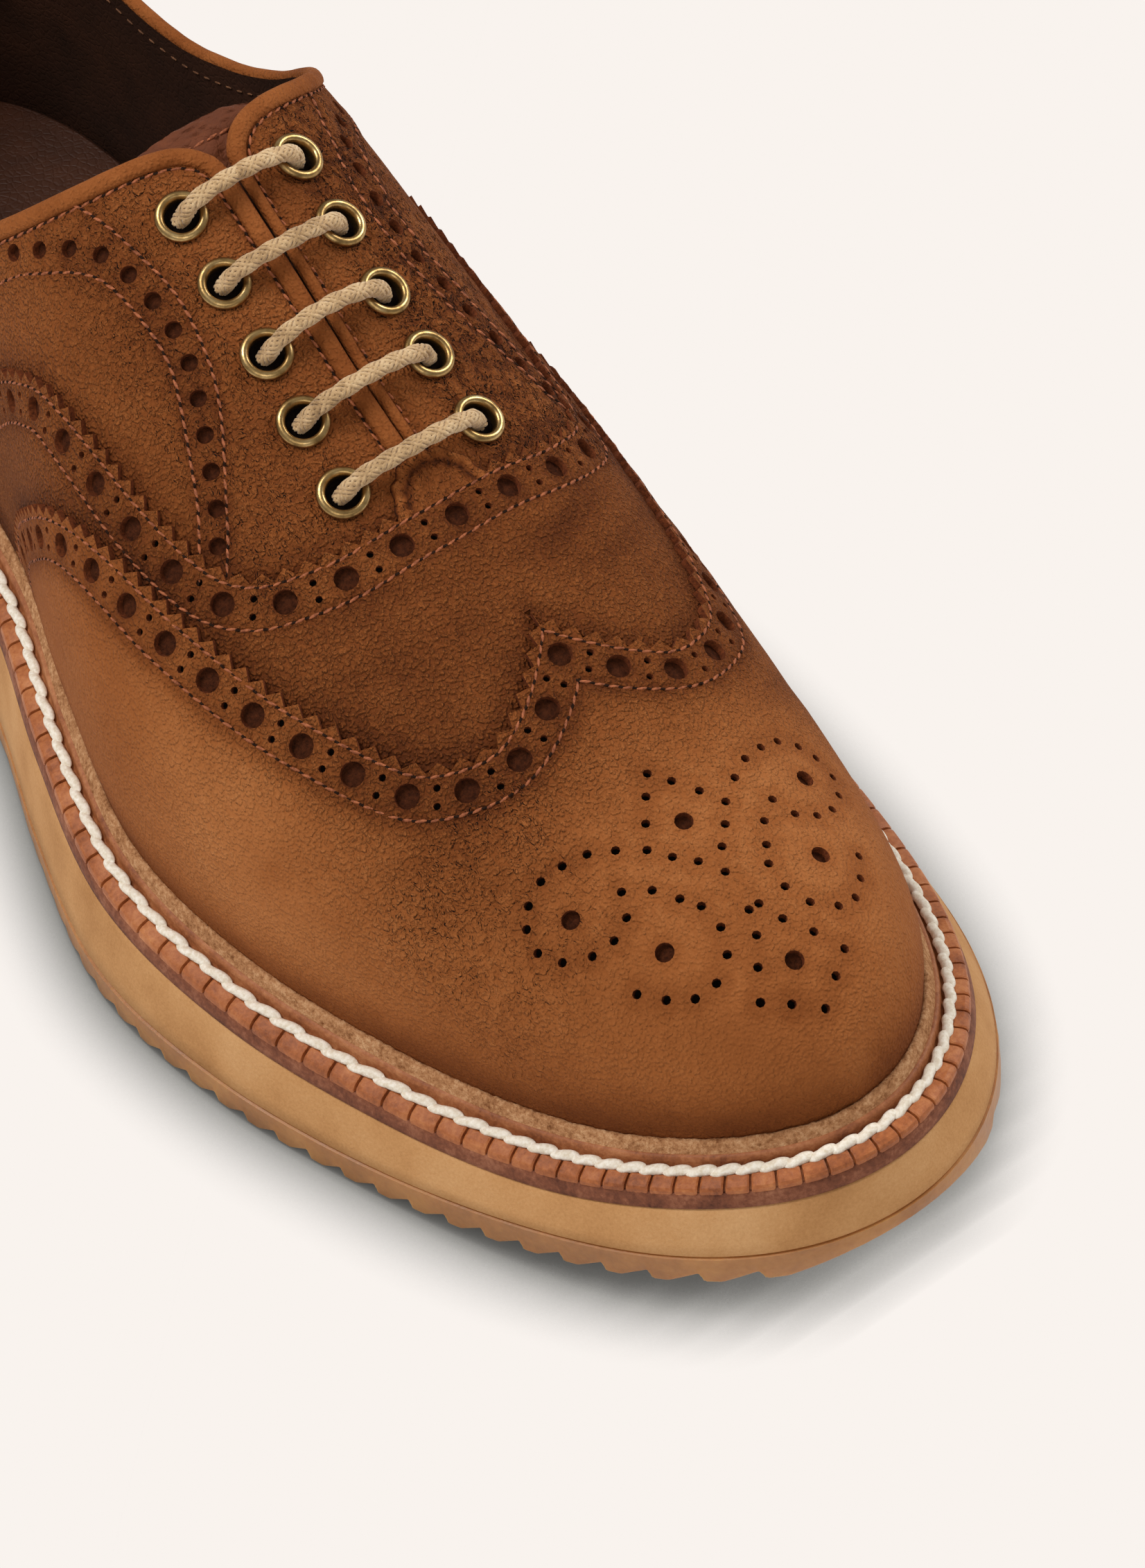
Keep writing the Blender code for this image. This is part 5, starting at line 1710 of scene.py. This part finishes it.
def leather_material():
    """Tan nubuck: velvety nap, pebbled grain where it is worked, and painted shade in seams, folds and
    creases, with painted highlights, from the tone value and the crease noise.
    """
    s = Shader("tan_nubuck_leather", Roughness=0.88, Specular_IOR_Level=0.13)
    tone, coarse, crumpled = s.value("tone"), s.value("coarse"), s.value("crumpled")
    patches = s.noise(30.0, 4.0, 0.55, warp=0.4)
    streaks = s.noise(150.0, 3.0, 0.6, stretch=(1.0, 0.35, 0.6))
    nap = s.noise(2600.0, 2.0, 0.6)
    clumps = s.noise(420.0, 4.0, 0.6)
    pebble = s.span(s.cells(1900.0, "SMOOTH_F1", s.warped(900.0, 0.0006)), 0.10, 0.60, 1.0, 0.0)
    crease = s.noise(420.0, 3.0, 0.5, stretch=(1.0, 0.55, 0.75), warp=0.8)
    crease = s.span(s.math("ABSOLUTE", s.math("SUBTRACT", crease, 0.5)), 0.0, 0.09)
    fold = s.math("MULTIPLY", s.math("SUBTRACT", 1.0, crease), crumpled)
    # The tone value brings the painted shade and highlights of the leather.
    level = tone
    for cloud, amount in ((patches, 0.30), (streaks, 0.16), (nap, 0.18), (clumps, 0.12)):
        level = s.add_noise(level, cloud, amount)
    worked = s.math("MULTIPLY", s.math("SUBTRACT", pebble, 0.5), s.math("ADD", coarse, 0.12))
    level = s.math("MULTIPLY_ADD", worked, 0.26, level)
    # Painted shade in the creases of crumpled leather.
    level = s.math("MULTIPLY_ADD", fold, -0.16, level)
    s.link("Base Color", s.ramp(level, (
        (0.00, (56, 25, 8)), (0.22, (98, 49, 18)), (0.42, (129, 71, 31)),
        (0.60, (152, 89, 44)), (0.80, (175, 110, 61)), (1.00, (200, 136, 84)))))
    s.bump(((clumps, 0.0008, 0.20), (s.math("MULTIPLY", pebble, s.math("ADD", coarse, 0.15)), 0.0008, 1.0),
            (s.math("MULTIPLY", fold, -1.0), 0.0006, 0.7), (nap, 0.00014, 0.4)))
    return s.material


def noise_material(name, rough, specular, noises, stops, bumps, amount=0.0, shine=None, **settings):
    """Colour from a ramp over one noise, with a share of a second, and bumps from either."""
    s = Shader(name, Roughness=rough, Specular_IOR_Level=specular, **settings)
    clouds = [s.noise(*noise) for noise in noises]
    level = s.add_noise(clouds[0], clouds[1], amount) if amount else clouds[0]
    s.link("Base Color", s.ramp(level, stops))
    if shine:
        s.link("Roughness", s.span(clouds[0], *shine))
    s.bump([(clouds[k], distance, strength) for k, distance, strength in bumps])
    return s.material


def thread_material(name, dark, light, rough=0.7):
    return noise_material(name, rough, 0.3, ((1500.0, 2.0, 0.6),), ((0.3, dark), (0.7, light)),
                          ((0, 0.00015, 0.6),))


def welt_material(name, dark, middle, light, rough=0.55):
    return noise_material(name, rough, 0.35, ((120.0, 4.0, 0.6), (1100.0, 4.0, 0.7)),
                          ((0.2, dark), (0.5, middle), (0.8, light)),
                          ((1, 0.00022, 0.7), (0, 0.0006, 0.3)), 0.8)


def dark_material(name, colour):
    """Near black, with a grit that the linear colour and three times it make."""
    s = Shader(name, Roughness=0.95, Specular_IOR_Level=0.05)
    grit = s.noise(2000.0, 2.0)
    s.link("Base Color", s.ramp(grit, ((0.3, colour), (0.8, tuple(3 * c for c in colour))), linear=True))
    return s.material


def inner_material(name, dark, light, rough=0.62, scale=700.0):
    """Leather of the inside, with a fine pebble."""
    s = Shader(name, Roughness=rough, Specular_IOR_Level=0.3)
    cloud = s.noise(70.0, 4.0, 0.6)
    pebble = s.span(s.cells(scale, "DISTANCE_TO_EDGE", s.warped(400.0, 0.001)), 0.0, 0.2)
    s.link("Base Color", s.ramp(cloud, ((0.25, dark), (0.75, light))))
    s.bump(((pebble, 0.00012, 0.6), (cloud, 0.001, 0.2)))
    return s.material


def foam_material():
    """Beige foam with specks and fine pores."""
    s = Shader("beige_foam_fine", Roughness=0.9, Specular_IOR_Level=0.2)
    specks, cloud = s.noise(1900.0, 3.0, 0.7), s.noise(60.0, 3.0, 0.5)
    stops = ((0.15, (170, 119, 70)), (0.5, (198, 147, 95)), (0.85, (216, 169, 118)))
    s.link("Base Color", s.ramp(s.add_noise(cloud, specks, 0.5), stops))
    s.bump(((specks, 0.00018, 0.7), (s.cells(1500.0), 0.0001, 0.4)))
    return s.material


# Materials made of one or two noises: roughness, specular level, noises as (scale, detail, roughness),
# colour stops, bumps as (which noise, distance, strength), then the amount of the second noise.
CUT_EDGE = (
    0.9, 0.15, ((1800.0, 3.0, 0.7),), ((0.3, (70, 32, 16)), (0.7, (128, 66, 34))),
    ((0, 0.0002, 0.8),))
# Floor of the holes: the leather beneath, darkened as painted shade.
HOLE_FLOOR = (
    0.92, 0.1, ((1500.0, 4.0, 0.7),), ((0.25, (36, 17, 9)), (0.75, (92, 47, 25))),
    ((0, 0.0004, 0.9),))
BRASS = (
    0.5, 0.5, ((420.0, 4.0, 0.6), (2600.0, 2.0, 0.6)),
    ((0.28, (104, 80, 48)), (0.5, (170, 138, 88)), (0.75, (214, 184, 130))), ((1, 0.00004, 0.4),))
BRAID = (
    0.85, 0.2, ((240.0, 2.0), (2200.0, 3.0, 0.65)),
    ((0.2, (150, 117, 79)), (0.5, (200, 166, 122)), (0.8, (226, 198, 156))), ((1, 0.0002, 0.8),), 0.7)
LIP_FIBRES = (
    0.95, 0.1, ((1300.0, 4.0, 0.75), (330.0, 3.0, 0.6)),
    ((0.25, (122, 74, 42)), (0.5, (184, 132, 90)), (0.75, (222, 176, 132))),
    ((0, 0.0005, 0.9), (1, 0.0006, 0.5)), 0.5)
GUM = (
    0.42, 0.45, ((90.0, 4.0, 0.6), (900.0, 3.0, 0.6)),
    ((0.2, (136, 86, 40)), (0.5, (168, 113, 60)), (0.8, (190, 136, 78))), ((1, 0.00012, 0.5),), 0.3)


def build_floor():
    """Plain pale floor that glows evenly, with a shadow round the sole painted into its glow from ambient
    occlusion.
    """
    mesh = bpy.data.meshes.new("floor")
    size = 3.0
    corners = [(-size, -size, 0), (size, -size, 0), (size, size, 0), (-size, size, 0)]
    mesh.from_pydata(corners, [], [(0, 1, 2, 3)])
    s = Shader("pale_floor", Roughness=1.0, Specular_IOR_Level=0.0)
    s.main.inputs["Base Color"].default_value = (0.0, 0.0, 0.0, 1.0)
    s.main.inputs["Emission Strength"].default_value = 1.0
    # Painted shadow: the glow drops where ambient occlusion finds the shoe close.
    openness = s.node("ShaderNodeAmbientOcclusion", samples=16)
    openness.inputs["Distance"].default_value = SHADOW_REACH
    s.link("Emission Color", s.ramp(openness.outputs["AO"], FLOOR_GLOW_AND_PAINTED_SHADOW, linear=True))
    mesh.materials.append(s.material)
    floor = bpy.data.objects.new("floor", mesh)
    bpy.context.scene.collection.objects.link(floor)


def add_light(name, place, aim, size, power, colour=(1.0, 1.0, 1.0)):
    data = bpy.data.lights.new(name, "AREA")
    data.shape = "DISK"
    data.size = size
    data.energy = power
    data.color = colour
    light = bpy.data.objects.new(name, data)
    light.location = place
    way = Vector(aim) - Vector(place)
    light.rotation_euler = way.to_track_quat("-Z", "Y").to_euler()
    bpy.context.scene.collection.objects.link(light)


def build_lights():
    for row in LIGHTS:
        add_light(*row)
    world = bpy.context.scene.world or bpy.data.worlds.new("studio")
    bpy.context.scene.world = world
    world.use_nodes = True
    back = world.node_tree.nodes.get("Background")
    back.inputs["Color"].default_value = (1.0, 0.975, 0.95, 1.0)
    back.inputs["Strength"].default_value = WORLD_STRENGTH
    bpy.context.scene.view_settings.view_transform = "Standard"
    bpy.context.scene.view_settings.look = "None"


# Camera, found by fitting the last and sole to the photographed outlines
VIEW_TURN = math.radians(31.12)
VIEW_RISE = math.radians(48.71)
VIEW_ROLL = math.radians(-7.17)
VIEW_AWAY = 0.77315
VIEW_ASIDE = 0.0100
VIEW_UP = -0.00832
LENS = 111.2

# Light
# Floor: the reach of its ambient occlusion and its glow ramp, dark where occluded, which paint its shadow.
SHADOW_REACH = 0.014
FLOOR_GLOW_AND_PAINTED_SHADOW = (
    (0.00, (0.018, 0.017, 0.016)), (0.45, (0.130, 0.126, 0.118)), (0.62, (0.34, 0.33, 0.31)),
    (0.82, (0.68, 0.65, 0.62)), (0.98, (0.947, 0.896, 0.855)))
WORLD_STRENGTH = 0.30
LIGHTS = (
    ("key_soft", (-0.35, 0.25, 0.95), (0.0, -0.03, 0.03), 0.5, 6.2, (1.0, 0.98, 0.96)),
    ("front_soft", (-0.45, -0.75, 0.7), (0.0, -0.05, 0.03), 0.6, 1.9, (1.0, 0.98, 0.96)),
    ("side_soft", (0.8, -0.1, 0.6), (0.0, -0.05, 0.04), 0.45, 4.0, (1.0, 0.98, 0.96)),
)


def build_camera():
    toward = Vector((-math.sin(VIEW_TURN) * math.cos(VIEW_RISE), -math.cos(VIEW_TURN) * math.cos(VIEW_RISE),
                     math.sin(VIEW_RISE)))
    right_level = Vector((math.cos(VIEW_TURN), -math.sin(VIEW_TURN), 0.0))
    up_level = toward.cross(right_level)
    right = right_level * math.cos(VIEW_ROLL) + up_level * math.sin(VIEW_ROLL)
    up = -right_level * math.sin(VIEW_ROLL) + up_level * math.cos(VIEW_ROLL)
    target = Vector((0.0, -0.200, 0.040)) + right * VIEW_ASIDE + up * VIEW_UP + Vector(SHIFT)
    data = bpy.data.cameras.new("photo_view")
    data.sensor_width = 36.0
    data.lens = LENS
    data.clip_start = 0.02
    data.clip_end = 20.0
    camera = bpy.data.objects.new("photo_view", data)
    turn = Matrix((right, up, toward)).transposed().to_4x4()
    turn.translation = target + toward * VIEW_AWAY
    camera.matrix_world = turn
    bpy.context.scene.collection.objects.link(camera)
    bpy.context.scene.camera = camera


def build():
    # Near black: painted shade on the floors of the dots and inside the eyelets.
    black = dark_material("deep_hole_shade", (0.004, 0.0025, 0.002))
    # Near black: painted shade in the needle holes and the holes of the welt stitches; the insole's stitches
    # use it too.
    dark = dark_material("needle_hole_dark", (0.012, 0.006, 0.004))
    thread = thread_material("orange_brown_thread", (110, 57, 32), (184, 108, 68))
    cut = noise_material("cut_leather_edge", *CUT_EDGE)
    hole_floor = noise_material("shaded_leather_in_holes", *HOLE_FLOOR)
    leather = leather_material()
    pattern = Pattern()
    build_skin(pattern, leather, [cut, hole_floor, black])
    build_stitches(pattern, [thread, dark])
    build_bead(pattern, [leather])
    build_tab([leather])
    build_lining(pattern, [inner_material("lining_smooth", (38, 21, 12), (62, 35, 21), 0.6)])
    build_lining_stitches(pattern, [thread_material("lining_thread", (84, 52, 32), (128, 86, 56))])
    brass = noise_material("aged_brass_metal", *BRASS, shine=(0.2, 0.8, 0.42, 0.24), Metallic=1.0)
    build_eyelets(pattern, [brass, black])
    braid = noise_material("cotton_braid", *BRAID, Sheen_Weight=0.3, Sheen_Roughness=0.5)
    build_lace(pattern, [braid, dark_material("braid_core_shaded", (0.16, 0.11, 0.06))])
    build_tongue([inner_material("tongue_grained", (70, 33, 16), (112, 58, 29), 0.75, 900.0), thread])
    build_insole([inner_material("sock_smooth", (48, 25, 14), (76, 42, 25), 0.55), dark])
    build_welt(
        noise_material("rough_lip_fibres", *LIP_FIBRES),
        welt_material("welt_channel_leather", (112, 58, 30), (160, 96, 56), (190, 128, 84)),
        welt_material("fibrous_dark_edge", (80, 40, 25), (128, 74, 49), (166, 110, 80), 0.8))
    build_blocks([welt_material("welt_block_leather", (124, 64, 30), (170, 97, 50), (198, 128, 76), 0.5)])
    build_rope(thread_material("waxed_white_cord", (224, 210, 186), (253, 247, 234), 0.5), dark)
    build_midsole([foam_material()])
    rubber = noise_material("gum_rubber_honey", *GUM, shine=(0.3, 0.7, 0.36, 0.55), Subsurface_Weight=0.25,
                            Subsurface_Radius=(0.004, 0.0016, 0.0006), Subsurface_Scale=1.0)
    build_outsole([rubber])
    build_floor()
    build_lights()
    build_camera()


build()
